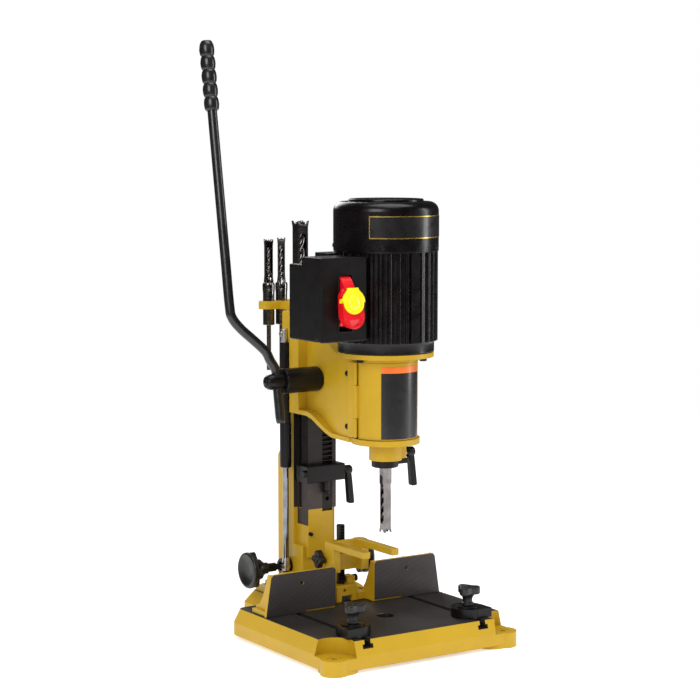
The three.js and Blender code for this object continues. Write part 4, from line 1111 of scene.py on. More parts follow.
@dataclass
class ToolRack:
    """The bar behind the column that holds three spare chisels point up."""

    shop: Workshop
    y: float = 285.0
    bottom: float = 511.3
    top: float = 524.5

    def build(self) -> None:
        """Makes the bar and its tools."""
        small = ToolSize(side=12.0, shank=10.2, bore=4.9, bit=4.5, tip=626, shoulder=552.5, shank_end=485,
                         neck=9.5, window_end=569)
        tools = {
            "left": (-39.0, 74.0, small),
            "middle": (-14.5, 57.0, replace(small, tip=628, window_end=571)),
            "right": (22.5, 90.0, replace(small, side=19.0, shank=11.8, bore=8.6, bit=8.1, tip=655, neck=9.6,
                                          window_end=566)),
        }
        self.bar([(x, size.neck + 0.3) for x, _, size in tools.values()])
        for word, (x, turn, size) in tools.items():
            self.tool(word, x, turn, size)

    def bar(self, holes: Sequence[Flat]) -> None:
        """The bar, its tongue over the column and its two screws."""
        outline = rounded_rectangle((-56, 56), (self.y - 13, self.y + 13), 12.9, 12)
        bar = Shape.prism(outline, Plane.XY, (self.bottom, self.top), 0.8, 2)
        tongue = Shape.block((-25, 25), (226, self.y), (self.bottom, self.top), 0.8)
        cuts = [Shape.rod((x, self.y, 480), (x, self.y, 560), radius, 48) for x, radius in holes]
        solid = bar.plus(tongue).minus(*cuts)
        self.shop.piece("tool_rack_bar", solid, Finish.YELLOW, "base", Slot.YELLOW, ["tool_rack"])
        for x, word in ((-12, "left"), (12, "right")):
            screw = socket_screw((x, 240, self.top), Axis.Z, 6.0, 6.0)
            self.shop.piece(f"tool_rack_screw_{word}", screw, Finish.BLACK_STEEL, "base", Slot.BLACK)

    def tool(self, word: str, x: float, turn: float, size: ToolSize) -> None:
        """One chisel with its bit, point up, its window turned from the operator's left by turn degrees."""
        down = replace(size, tip=-size.tip, shoulder=-size.shoulder, shank_end=-size.shank_end,
                       window_end=-size.window_end)
        scoop = Shape.rod((-15, 0, -540), (-3, 0, -580), 3.4, 28)
        outlet = Shape.prism(rounded_rectangle((-1.7, 1.7), (-552, -545), 1.6, 6), Plane.YZ, (-20, -2))
        chisel = hollow_chisel(down).minus(scoop, outlet).turned_by(Quaternion((1, 0, 0), math.pi))
        chisel.turned_by(Quaternion((0, 0, 1), math.radians(turn))).moved((x, self.y, 0))
        self.shop.piece(f"spare_chisel_{word}", chisel, Finish.CHISEL, "base", Slot.STEEL,
                        [f"stored_chisel_{word}"])
        bit = auger_bit(size.tip + 1, 410, size.bit, size.bit * 0.8, -1).moved((x, self.y, 0))
        self.shop.piece(f"spare_bit_{word}", bit, Finish.CHISEL, "base", Slot.STEEL, [f"stored_bit_{word}"])


# ---------------------------------------------------------------------------------------------
# Gas strut and depth stop
# ---------------------------------------------------------------------------------------------


@dataclass
class GasStrut:
    """The strut that holds the head up."""

    shop: Workshop
    x: float = -48.0
    y: float = 218.5

    def build(self) -> None:
        """Makes every piece of the strut."""
        rod = Shape.rod((self.x, self.y, 108), (self.x, self.y, 330), 4.9, 40, 0.4)
        self.shop.piece("strut_piston_rod", rod, Finish.CHROME, "base", Slot.CHROME, ["strut_rod"])
        lower = Shape.rod((self.x, self.y, 86), (self.x, self.y, 107.7), 6, 32, 0.8)
        ball = Shape.rod((self.x - 8.5, self.y, 93), (self.x + 6, self.y, 93), 4, 24, 0.6)
        self.shop.piece("strut_lower_socket", lower.plus(ball), Finish.ZINC, "base", Slot.STEEL,
                        ["strut_lower_joint"])
        skin = [(5.4, 257.5), (8.4, 257.5), (9.4, 258.6), (9.4, 328.5), (8.9, 330), (8.6, 331), (8.6, 460.4),
                (7.4, 462), (0, 462), (0, 425), (5.4, 425)]
        body = Shape.turned(skin, (self.x, self.y, 0), steps=56)
        self.shop.piece("strut_tube", body, Finish.BLACK_STEEL, "head", Slot.BLACK, ["strut_cylinder"])
        wiper = tube((self.x, self.y, 256.6), (self.x, self.y, 257.5), 6.6, 5.2)
        self.shop.piece("strut_wiper", wiper, Finish.ZINC, "head", Slot.STEEL)
        upper = Shape.rod((self.x - 2, self.y, 462.3), (self.x - 2, self.y, 484), 6, 32, 0.8)
        pin = Shape.rod((self.x - 10, self.y, 476), (self.x + 6.6, self.y, 476), 4, 24, 0.6)
        self.shop.piece("strut_upper_socket", upper.plus(pin), Finish.ZINC, "head", Slot.STEEL,
                        ["strut_upper_joint"])


def clamping_lever(x: float, y: float, z: float, length: float) -> Shape:
    """A ratchet clamping lever whose hub starts at x, with its arm hanging down."""
    hub = Shape.turned([(0, 0), (6.4, 0), (7.7, 1.2), (8, 2.4), (7.6, 12.4), (6.6, 13.8), (5.2, 14), (0, 14)],
                       (x, y, z), Axis.X, 40)
    arm = [(x + 3, z + 3.5), (x + 7.6, z + 6), (x + 12, z + 3.5), (x + 14.5, z - 14),
           (x + 19, z - length + 2), (x + 17.5, z - length), (x + 10, z - length), (x + 8.2, z - length + 2),
           (x + 5, z - 14)]
    blade = Shape.prism(arm, Plane.XZ, (y - 5, y + 5), 1.6, 3)
    return hub.plus(blade)


@dataclass
class DepthStop:
    """The block that stops the head, clamped round the column's ways."""

    shop: Workshop
    half: float = 27.3
    low: float = 235.5
    high: float = 263.5
    bolt_y: float = 175.5
    bolt_z: float = 251.0

    def build(self) -> None:
        """Makes every piece of the stop."""
        z = (self.low, self.high)
        block = Shape.block((-37, 36), (169, 182.6), z, 2.0, 3)
        cheeks = [
            Shape.block((-37, -self.half), (169.5, 202), z, 1.5),
            Shape.block((self.half, 36), (169.5, 202), z, 1.5),
            Shape.block((-33, -self.half), (201, 208.5), (239, 262)),
            Shape.block((-33, -19.5), (204, 208.5), (239, 262)),
            Shape.block((self.half, 33), (201, 208.5), z),
            Shape.block((19.5, 33), (204, 208.5), z),
        ]
        bore = Shape.rod((-50, self.bolt_y, self.bolt_z), (60, self.bolt_y, self.bolt_z), 3.6, 28)
        slit = Shape.block((8, 40), (168, 178), (self.low - 1, self.low + 1.2))
        self.shop.piece("stop_block", block.plus(*cheeks).minus(bore, slit), Finish.BLACK_STEEL, "depth_stop",
                        Slot.BLACK, ["depth_stop_clamp"])
        stud = Shape.turned([(0, 0), (2.6, 0.4), (4.6, 2.2), (4.6, 4.4), (3.2, 6), (4.6, 6.6), (4.6, 21.2),
                             (0, 21.2)], (4, 175.8, 214), steps=32)
        self.shop.piece("stop_stud", stud, Finish.RACK, "depth_stop", Slot.STEEL, ["depth_stop_stud"])
        head = hex_nut((-37.3, self.bolt_y, self.bolt_z), Axis.MINUS_X, 10, 5.6, 0.8)
        shank = Shape.rod((-38, self.bolt_y, self.bolt_z), (30, self.bolt_y, self.bolt_z), 3.3, 24)
        self.shop.piece("stop_bolt", head.plus(shank), Finish.BLACK_STEEL, "depth_stop", Slot.STEEL,
                        ["depth_stop_screw"])
        lever = clamping_lever(36.3, self.bolt_y, self.bolt_z, 56)
        self.shop.piece("stop_lever", lever, Finish.BLACK_STEEL, "depth_lever", Slot.BLACK,
                        ["depth_stop_lever"])
        cap = Shape.rod((50.4, self.bolt_y, self.bolt_z), (51.2, self.bolt_y, self.bolt_z), 3.4, 24, 0.3)
        self.shop.piece("stop_lever_screw", cap, Finish.ZINC, "depth_lever", Slot.STEEL)


# ---------------------------------------------------------------------------------------------
# Head, motor and spindle
# ---------------------------------------------------------------------------------------------


@dataclass
class Head:
    """The casting that slides on the column and carries the motor, with its chuck door."""

    shop: Workshop
    chamber: float = 50.0
    floor: float = 331.0
    roof: float = 450.8
    flange_low: float = 457.0
    flange_top: float = 464.5
    flange_radius: float = 74.0
    column_front: float = 183.0
    hub_y: float = 143.0
    hub_z: float = 409.5
    hinge: Flat = (-52.2, 5.6)
    plate_reach: float = 42.2

    def build(self) -> None:
        """Makes every piece of the head."""
        self.casting()
        self.screws()
        self.door()
        self.door_plate()
        self.hinge_leaf()

    def web(self) -> Shape:
        """The arm between the jaws and the chuck chamber, with its rim."""
        plan = [(-46, 10), (-44, 60), (-39, 95), (-33.5, 130), (-30.5, 160), (-30, 183), (30, 183),
                (30.5, 160), (33.5, 130), (39, 95), (44, 60), (46, 10)]
        side = [(208, 349), (157, 349), (140, 345), (122, 337), (100, 328), (82, 323), (0, 322), (0, 457),
                (72, 457), (90, 462), (112, 472), (196, 481), (208, 476)]
        tall = Shape.prism(plan, Plane.XY, (300, 500)).common(Shape.prism(side, Plane.YZ, (-60, 60)))
        rim = [(208, 349), (157, 349), (140, 345), (122, 337), (100, 328), (82, 323), (30, 322), (30, 329),
               (82, 330), (100, 335), (120, 344), (138, 352), (152, 356), (208, 356)]
        jaws = [(208, 349), (180, 349), (180, 479), (196, 481), (208, 476)]
        return tall.plus(Shape.prism(jaws, Plane.YZ, (-47, 47)), Shape.prism(rim, Plane.YZ, (-47, 47)))

    def casting(self) -> None:
        """The whole casting, with its machined holes."""
        rounds = [
            Shape.rod((0, 0, 322), (0, 0, self.flange_low + 1), self.chamber + 1, 112),
            Shape.rod((0, 0, 322), (0, 0, self.floor), self.chamber + 3, 112),
            Shape.rod((0, 0, self.flange_low), (0, 0, self.flange_top), self.flange_radius, 112),
            Shape.rod((0, 0, 295.3), (0, 0, 323), 25.5, 72),
            Shape.block((12, 33), (-9, 9), (296, 316)),
            Shape.prism(rounded_rectangle((-46.5, -38), (466, 485), 4), Plane.XZ, (205, 226)),
        ]
        half = 27.3
        jaw_way = Shape.block((-half, half), (self.column_front - 6, 260), (300, 520))
        lips = [Shape.block((-28, -19.6), (203.8, 208), (352, 476)),
                Shape.block((19.6, 28), (203.8, 208), (352, 476))]
        hollow = Shape.prism(
            [(187, 361), (154, 361), (120, 349), (80, 336), (62, 336), (62, 449), (76, 449), (114, 456),
             (187, 456)], Plane.YZ, (-24, 26))
        outside = self.web().plus(*rounds).rounded(1.6, 3, 30)
        cuts = [
            Shape.rod((0, 0, self.floor), (0, 0, self.roof - 5), 43, 96),
            Shape.block((-90, 90), (-90, 9), (self.floor + 0.1, self.roof)),
            hollow,
            jaw_way,
            Shape.rod((-50, 218.5, 440), (-50, 218.5, 500), 6.6, 32),
        ]
        body = outside.minus(*cuts).plus(*lips)
        holes = [
            Shape.rod((0, 0, 280), (0, 0, 340), 9.8, 48),
            Shape.rod((0, 0, 440), (0, 0, 470), 14, 48),
            Shape.rod((-60, self.hub_y, self.hub_z), (60, self.hub_y, self.hub_z), 12.4, 48),
            Shape.rod((-60, self.hub_y, self.hub_z), (-33, self.hub_y, self.hub_z), 21.5, 64),
            Shape.rod((8, 0, 304), (60, 0, 304), 3.6, 24),
            Shape.rod((-70, 218.5, 476), (-36, 218.5, 476), 4.4, 24),
            Shape.block((half - 0.1, half + 4.4), (186, 202), (356, 470)),
            Shape.block((0, 30), (-1.2, 1.2), (290, 321)),
        ]

        def machined(middle: Vector, normal: Vector) -> bool:
            """Tells the faces that run on the column from the painted ones."""
            return abs(middle.x) < half + 0.2 and middle.y > self.column_front - 7 and abs(normal.z) < 0.5

        shape = body.minus(*holes).faced(1, machined)
        self.shop.piece("head_arm_casting", shape, [Finish.YELLOW, Finish.WAYS], "head", Slot.YELLOW,
                        ["head_casting"])

    def screws(self) -> None:
        """The screws of the motor's flange and the web, and the nuts and screws of the gib."""
        places = ((-57, -14, "left"), (38, -46, "right"), (-38, 40, "left_rear"), (57, 18, "right_rear"))
        for x, y, word in places:
            screw = socket_screw((0, 0, 0), Axis.Z, 5.6, 6.0)
            screw.turned_by(Quaternion((1, 0, 0), math.pi)).moved((x, y, self.flange_low))
            self.shop.piece(f"flange_screw_{word}", screw, Finish.BLACK_STEEL, "head", Slot.BLACK)
        for z, place in ((428.4, "upper"), (345.6, "lower")):
            left = button_screw((-45.4, 40, z), Axis.MINUS_X, 4.4)
            self.shop.piece(f"web_screw_{place}", left, Finish.BLACK_STEEL, "head", Slot.BLACK)
        for z, place in ((380, "lower"), (414, "middle"), (448, "upper")):
            gib = hex_nut((47, 194, z), Axis.X, 10, 4, 1.2)
            self.shop.piece(f"gib_nut_{place}", gib, Finish.ZINC, "head", Slot.STEEL)
            screw = Shape.rod((47, 194, z), (54.5, 194, z), 2.9, 20, 0.5)
            self.shop.piece(f"gib_screw_{place}", screw, Finish.BLACK_STEEL, "head", Slot.BLACK)

    def door(self) -> None:
        """The half-round door in front of the chuck."""
        z = (self.floor + 0.5, self.roof - 0.3)
        shell = Shape.prism(ring_sector(49.5, 46.5, 177, 365, 72), Plane.XY, z, 0.5, 1)
        leaf = Shape.block((-53.4, -48), (0.5, 5.2), (363.4, 413.6), 0.4)
        barrel = Shape.rod((*self.hinge, 363), (*self.hinge, 414), 3.1, 32, 0.5)
        bore = Shape.rod((*self.hinge, 300), (*self.hinge, 460), 1.5, 20)
        rib = Shape.prism(ring_sector(47, 44, 184, 356, 48), Plane.XY, (z[0] + 1, z[0] + 4))
        door = shell.plus(leaf, barrel, rib).minus(bore)
        self.shop.piece("chuck_door_shell", door, Finish.YELLOW, "door", Slot.YELLOW, ["chuck_door"])

    def door_plate(self) -> None:
        """The blank plate on the door: a black field under an orange band."""
        outline = ring_sector(49.8, 49.5, -90 - self.plate_reach, -90 + self.plate_reach, 40)
        layers = (("field", (333.6, 434.8), Finish.BLANK_BLACK),
                  ("band", (434.8, 444.4), Finish.BLANK_ORANGE))
        for word, z, finish in layers:
            plate = Shape.prism(outline, Plane.XY, z)
            self.shop.piece(f"door_plate_{word}", plate, finish, "door", Slot.BLACK)

    def hinge_leaf(self) -> None:
        """The fixed half of the door's hinge, with its pin."""
        knuckles: list[Shape] = []
        for span in ((333, 362.7), (414.3, 449)):
            knuckles.append(Shape.rod((*self.hinge, span[0]), (*self.hinge, span[1]), 3.1, 32, 0.5))
            knuckles.append(Shape.block((-53.6, -51.4), (5.6, 9.5), span))
        plate = Shape.block((-53.6, -51.4), (9.2, 26), (333, 449), 0.5)
        pin = Shape.rod((*self.hinge, 333), (*self.hinge, 449), 1.2, 16)
        solid = plate.plus(*knuckles, pin)
        self.shop.piece("door_hinge_leaf", solid, Finish.YELLOW, "head", Slot.YELLOW, ["door_hinge"])


@dataclass
class Motor:
    """The ribbed motor with its fan cover."""

    shop: Workshop
    bottom: float = 464.8
    bell_top: float = 482.5
    rib_top: float = 619.0
    cover_top: float = 695.0
    vent_top: float = 699.0
    root: float = 76.5
    rib: float = 80.0
    cover: float = 81.0
    ribs: int = 36

    def build(self) -> None:
        """Makes every piece of the motor that shows."""
        self.body()
        self.fan_cover()
        self.band_plate()
        self.cover_screws()

    def rib_outline(self) -> list[Flat]:
        """The motor's section: rounded ribs with a hollow between each two."""
        points: list[Flat] = []
        pitch = 2 * math.pi / self.ribs
        for i in range(self.ribs):
            middle = -math.pi / 2 + i * pitch
            steps = ((-0.36, self.root), (-0.24, self.root + 0.9), (-0.2, self.rib - 0.9), (-0.12, self.rib),
                     (0.12, self.rib), (0.2, self.rib - 0.9), (0.24, self.root + 0.9), (0.36, self.root))
            points += [(r * math.cos(middle + s * pitch), r * math.sin(middle + s * pitch)) for s, r in steps]
        return points

    def body(self) -> None:
        """The ribbed body over its smooth bell."""
        ribbed = Shape.prism(self.rib_outline(), Plane.XY, (self.bell_top, self.rib_top))
        pad = Shape.block((-8, 8), (-self.rib, -60), (self.bell_top, self.rib_top))
        bell = Shape.turned([(0, self.bottom), (73, self.bottom), (74.5, self.bottom + 1.5),
                             (74.5, self.bell_top - 4), (76.2, self.bell_top), (76.2, self.bell_top + 1),
                             (0, self.bell_top + 1)], steps=128)
        bores = [Shape.rod((0, 0, 476), (0, 0, self.rib_top - 6), 69, 72),
                 Shape.rod((0, 0, 450), (0, 0, 640), 9, 40),
                 Shape.rod((0, 0, 460), (0, 0, 471.5), 16.3, 40),
                 Shape.rod((0, 0, self.rib_top - 12), (0, 0, self.rib_top - 5), 16.3, 40)]
        body = ribbed.plus(pad, bell).minus(*bores)
        self.shop.piece("motor_ribbed_body", body, Finish.MOTOR, "head", Slot.MOTOR, ["motor_body"], 30)

    def fan_cover(self) -> None:
        """The pressed cover, with the slots of its vent."""
        wall, shoulder = 2.2, 15.0
        centre = (self.cover - shoulder, self.cover_top - shoulder)
        low = self.rib_top + 0.3
        outside = [(0, self.vent_top), (55.5, self.vent_top), *arc((55.5, self.vent_top - 2), 2, 90, 0, 5),
                   (57.5, self.cover_top), *arc(centre, shoulder, 90, 0, 14), (self.cover, low + 3),
                   (self.cover - 0.4, low)]
        inside = [(self.cover - wall, low), *arc(centre, shoulder - wall, 0, 90, 10),
                  (0, self.cover_top - wall)]
        shell = Shape.turned([*outside, *inside], steps=144)
        slots: list[Shape] = []
        for row in range(-3, 4):
            reach = math.sqrt(50**2 - (row * 12) ** 2)
            y = (row * 12 - 3, row * 12 + 3)
            for x in ((4.0, reach), (-reach, -4.0)):
                slots.append(Shape.prism(rounded_rectangle(x, y, 2.9, 5), Plane.XY,
                                         (self.cover_top - 5, self.vent_top + 5)))
        dimple = Shape.turned([(51.2, self.vent_top - 0.9), (53.4, self.vent_top - 0.9),
                               (53.4, self.vent_top + 2), (51.2, self.vent_top + 2),
                               (51.2, self.vent_top - 0.9)], steps=96)
        body = shell.minus(*slots, dimple)
        self.shop.piece("motor_fan_cover", body, Finish.MOTOR, "head", Slot.MOTOR, ["fan_cover"])

    def band_plate(self) -> None:
        """The blank plate round the front of the cover: a gold border on black."""
        z, reach = (640.6, 674.6), 52.6
        for word, inset, lift, finish in (("border", 0.0, 0.35, Finish.GOLD),
                                          ("field", 1.5, 0.5, Finish.BLANK_BLACK)):
            turn = math.degrees(inset / self.cover)
            band = Shape.prism(
                ring_sector(self.cover + lift, self.cover + 0.05, -90 - reach + turn, -90 + reach - turn, 64),
                Plane.XY, (z[0] + inset, z[1] - inset))
            self.shop.piece(f"motor_plate_{word}", band, finish, "head", Slot.MOTOR)

    def cover_screws(self) -> None:
        """Four screws that hold the cover to the body."""
        places = {"front_left": -128, "front_right": -52, "rear_right": 38, "rear_left": 142}
        for word, angle in places.items():
            screw = button_screw((0, 0, 0), Axis.X, 3.6).moved((self.cover - 0.2, 0, 0))
            screw.turned_by(Quaternion((0, 0, 1), math.radians(angle))).moved((0, 0, 627.5))
            self.shop.piece(f"cover_screw_{word}", screw, Finish.BLACK_STEEL, "head", Slot.BLACK)


@dataclass
class Spindle:
    """The chuck and the bit in the hollow chisel."""

    shop: Workshop
    chisel: ToolSize = ToolSize(side=12.7, shank=9.5, bore=5.5, bit=5.1, tip=181, shoulder=257.6,
                                shank_end=325, neck=9.5, window_end=272)

    def build(self) -> None:
        """Makes the chuck, the bit, the chisel and what holds it."""
        self.chuck()
        bit = auger_bit(self.chisel.tip - 2, 390, self.chisel.bit, 4.3)
        self.shop.piece("drilling_bit", bit, Finish.CHISEL, "spindle", Slot.STEEL, ["auger_bit"])
        self.shop.piece("mortise_chisel", hollow_chisel(self.chisel), Finish.CHISEL, "head", Slot.STEEL,
                        ["hollow_chisel"])
        self.holder()

    def chuck(self) -> None:
        """The keyed chuck: a nose with three jaws, a toothed sleeve and a body."""
        profile = [(0, 338), (9, 338), (14, 346), (19.2, 356), (20.5, 358), (20.5, 366), (21.5, 368),
                   (21.5, 398), (20.6, 399.6), (18, 402), (14, 406), (14, 424), (13, 425), (0, 425)]
        body = Shape.turned(profile, steps=80)
        teeth = Shape.prism(toothed_ring(30, 19.2, 22.2), Plane.XY, (359, 365.6))
        cuts = [Shape.rod((0, 0, 330), (0, 0, 396), 4.7, 32), Shape.rod((0, 0, 398), (0, 0, 430), 7.8, 32)]
        for i in range(3):
            hole = Shape.rod((0, 0, 374), (30, 0, 374), 3.2, 24)
            cuts.append(hole.turned_by(Quaternion((0, 0, 1), math.radians(40 + 120 * i))))
        body = body.minus(*cuts[:2]).plus(teeth.minus(Shape.rod((0, 0, 350), (0, 0, 372), 18.6, 64)))
        self.shop.piece("chuck_body", body.minus(*cuts[2:]), Finish.STEEL, "spindle", Slot.STEEL,
                        ["drill_chuck"])
        for i in range(3):
            jaw = Shape.block((4.8, 8.4), (-2.4, 2.4), (333, 350), 0.5)
            jaw.turned_by(Quaternion((0, 0, 1), math.radians(120 * i)))
            self.shop.piece(f"chuck_jaw_{i + 1}", jaw, Finish.BLACK_STEEL, "spindle", Slot.BLACK)

    def holder(self) -> None:
        """The collar under the bushing and its clamping lever."""
        ring = Shape.turned([(9.8, 284.3), (19.6, 284.3), (21, 285.6), (21, 294), (20, 295), (9.8, 295)],
                            (-1, 0, 0), steps=72)
        bar = Shape.block((12, 38), (-6, 6), (287, 295), 0.8)
        bore = Shape.rod((0, 0, 280), (0, 0, 300), 9.8, 48)
        self.shop.piece("bushing_collar", ring.plus(bar).minus(bore), Finish.BLACK_STEEL, "head", Slot.BLACK,
                        ["chisel_collar"])
        screw = Shape.rod((33.3, 0, 304), (38, 0, 304), 5, 32, 0.5).plus(
            Shape.rod((12, 0, 304), (34, 0, 304), 3.3, 24))
        self.shop.piece("bushing_screw", screw, Finish.ZINC, "chisel_clamp", Slot.STEEL, ["clamp_screw"])
        lever = clamping_lever(38.3, 0, 304, 54)
        self.shop.piece("bushing_lever", lever, Finish.BLACK_STEEL, "chisel_clamp", Slot.BLACK,
                        ["clamp_lever"])
        cap = Shape.rod((52.4, 0, 304), (53.2, 0, 304), 3.4, 24, 0.3)
        self.shop.piece("bushing_lever_screw", cap, Finish.ZINC, "chisel_clamp", Slot.STEEL)


@dataclass
class SwitchBox:
    """The box with the paddle switch on the motor's left."""

    shop: Workshop
    x: Span = (-150.0, -70.0)
    y: Span = (-52.0, 40.0)
    z: Span = (488.5, 614.5)
    slope: float = math.radians(8.53)

    def build(self) -> None:
        """Makes every piece of the switch."""
        self.box()
        self.paddle()
        self.key()
        self.fittings()

    def box(self) -> None:
        """The folded and welded box, cut to fit the motor."""
        front = Shape.block(self.x, (self.y[0], self.y[0] + 57), self.z, 2.2, 3)
        rear = Shape.block(self.x, (self.y[0] + 50, self.y[1]), (self.z[0], self.z[1] - 12), 2.2, 3)
        lip = Shape.block((-95, -50), (self.y[0] + 64, self.y[1] + 14), (520, 617.5), 1.2, 2)
        saddle = Shape.rod((0, 0, 400), (0, 0, 700), 81, 128)
        recess = Shape.prism(rounded_rectangle((-121, -95.5), (503, 589), 2), Plane.XZ,
                             (self.y[0] - 1, self.y[0] + 12))
        notch = Shape.rod((-152, -38, self.z[0]), (-138, -38, self.z[0]), 6.4, 32)
        hollow = Shape.block((-146, -84), (self.y[0] + 14, self.y[1] - 4), (493, 598))
        door = Shape.block((-140, -90), (self.y[1] - 5, self.y[1] + 1), (500, 590))
        shape = front.plus(rear, lip).minus(saddle, recess, notch, hollow, door)
        self.shop.piece("switch_housing", shape, Finish.SWITCH, "head", Slot.PLASTIC, ["switch_box"])
        outline = rounded_rectangle((-139.5, -90.5), (500.5, 589.5), 3)
        lid = Shape.prism(outline, Plane.XZ, (self.y[1] - 3.5, self.y[1] - 0.5), 0.5, 2)
        self.shop.piece("switch_rear_lid", lid, Finish.SWITCH, "head", Slot.PLASTIC, ["switch_box_lid"])

    def paddle(self) -> None:
        """The red paddle: a neck in the recess and a broad flap that stands out at the bottom."""
        neck = [(-41, 512), (-50, 512), (-63, 530), (-69, 556), (-65.5, 566), (-60, 575.5), (-54, 583),
                (-50, 586.5), (-41, 586.5)]
        side = [(-60, 570), (-60.3, 545), (-62.3, 528), (-67.3, 512), (-70, 509.6), (-74, 508.5),
                (-77, 508.8), (-78, 509.8), (-78.3, 514), (-72.6, 552), (-66, 565)]
        bottom = arc((-108.3, 528.2), 18.4, 180, 360, 32)
        face = [*bottom, (-89.9, 560), (-98, 572), (-118.6, 572), (-126.7, 560)]
        flap = Shape.prism(face, Plane.XZ, (-90, -50)).common(Shape.prism(side, Plane.YZ, (-140, -80)))
        thumb = Shape.rod((-108.3, -112.6, 518), (-108.3, -76.6, 523), 14, 48, end_radius=9)
        slot = Shape.block((-112, -104.5), (-90, -60.8), (541, 559))
        rocker = Shape.prism(neck, Plane.YZ, (-117.5, -99)).plus(flap).minus(slot, thumb)
        self.shop.piece("switch_rocker", rocker.rounded(0.9, 3, 40), Finish.RED, "paddle", Slot.RED,
                        ["switch_paddle"])

    def key(self) -> None:
        """The yellow key that locks the paddle: a round head with two wings and a dome."""
        half = [(19.5, 0), (19.4, 4), (18.4, 8), (16, 12.4), (12.6, 16), (10.6, 18), (9.6, 20), (9.3, 22)]
        outline = [*arc((0, 0), 17.5, 180, 360, 40), *half, *[(-x, z) for x, z in reversed(half)]]
        head = Shape.prism(outline, Plane.XZ, (-3.6, -0.4), 0.7, 2)
        wings = Shape.prism([*half, *[(-x, z) for x, z in reversed(half)]], Plane.XZ, (-2.4, 7))
        inside = Shape.block((-18.7, 18.7), (-0.4, 9), (-1, 30))
        dome = Shape.turned([(0, 2.8), (11.2, 2.8), (11, 4), (9.6, 5.6), (6.6, 6.8), (3, 7.3), (0, 7.4)],
                            steps=56)
        dome.pointed(Axis.MINUS_Y, (0, 0, 0))
        body = head.plus(wings.minus(inside), dome)
        body.turned_by(Quaternion((1, 0, 0), -self.slope)).moved((-108.3, -73.1, 548.7))
        tongue = Shape.block((-111.7, -104.8), (-75, -61.2), (541.3, 558.7), 0.4)
        self.shop.piece("switch_lock_key", body.plus(tongue), Finish.KEY, "key", Slot.KEY, ["switch_key"])

    def fittings(self) -> None:
        """The frame round the paddle and the empty cord gland."""
        outer = rounded_rectangle((-121, -95.5), (503, 589), 2)
        inner = rounded_rectangle((-120.2, -96.3), (503.8, 588.5), 1.2)
        frame = Shape.prism(outer, Plane.XZ, (-53.2, -50)).minus(Shape.prism(inner, Plane.XZ, (-60, -40)))
        self.shop.piece("switch_frame", frame, Finish.KNOB, "head", Slot.PLASTIC)
        gland = tube((-146, -38, self.z[0] + 3.2), (-141.5, -38, self.z[0] + 3.2), 3.2, 2.0, 32)
        self.shop.piece("empty_cord_gland", gland, Finish.KNOB, "head", Slot.PLASTIC, ["cord_gland"])


# ---------------------------------------------------------------------------------------------
# Feed lever
# ---------------------------------------------------------------------------------------------


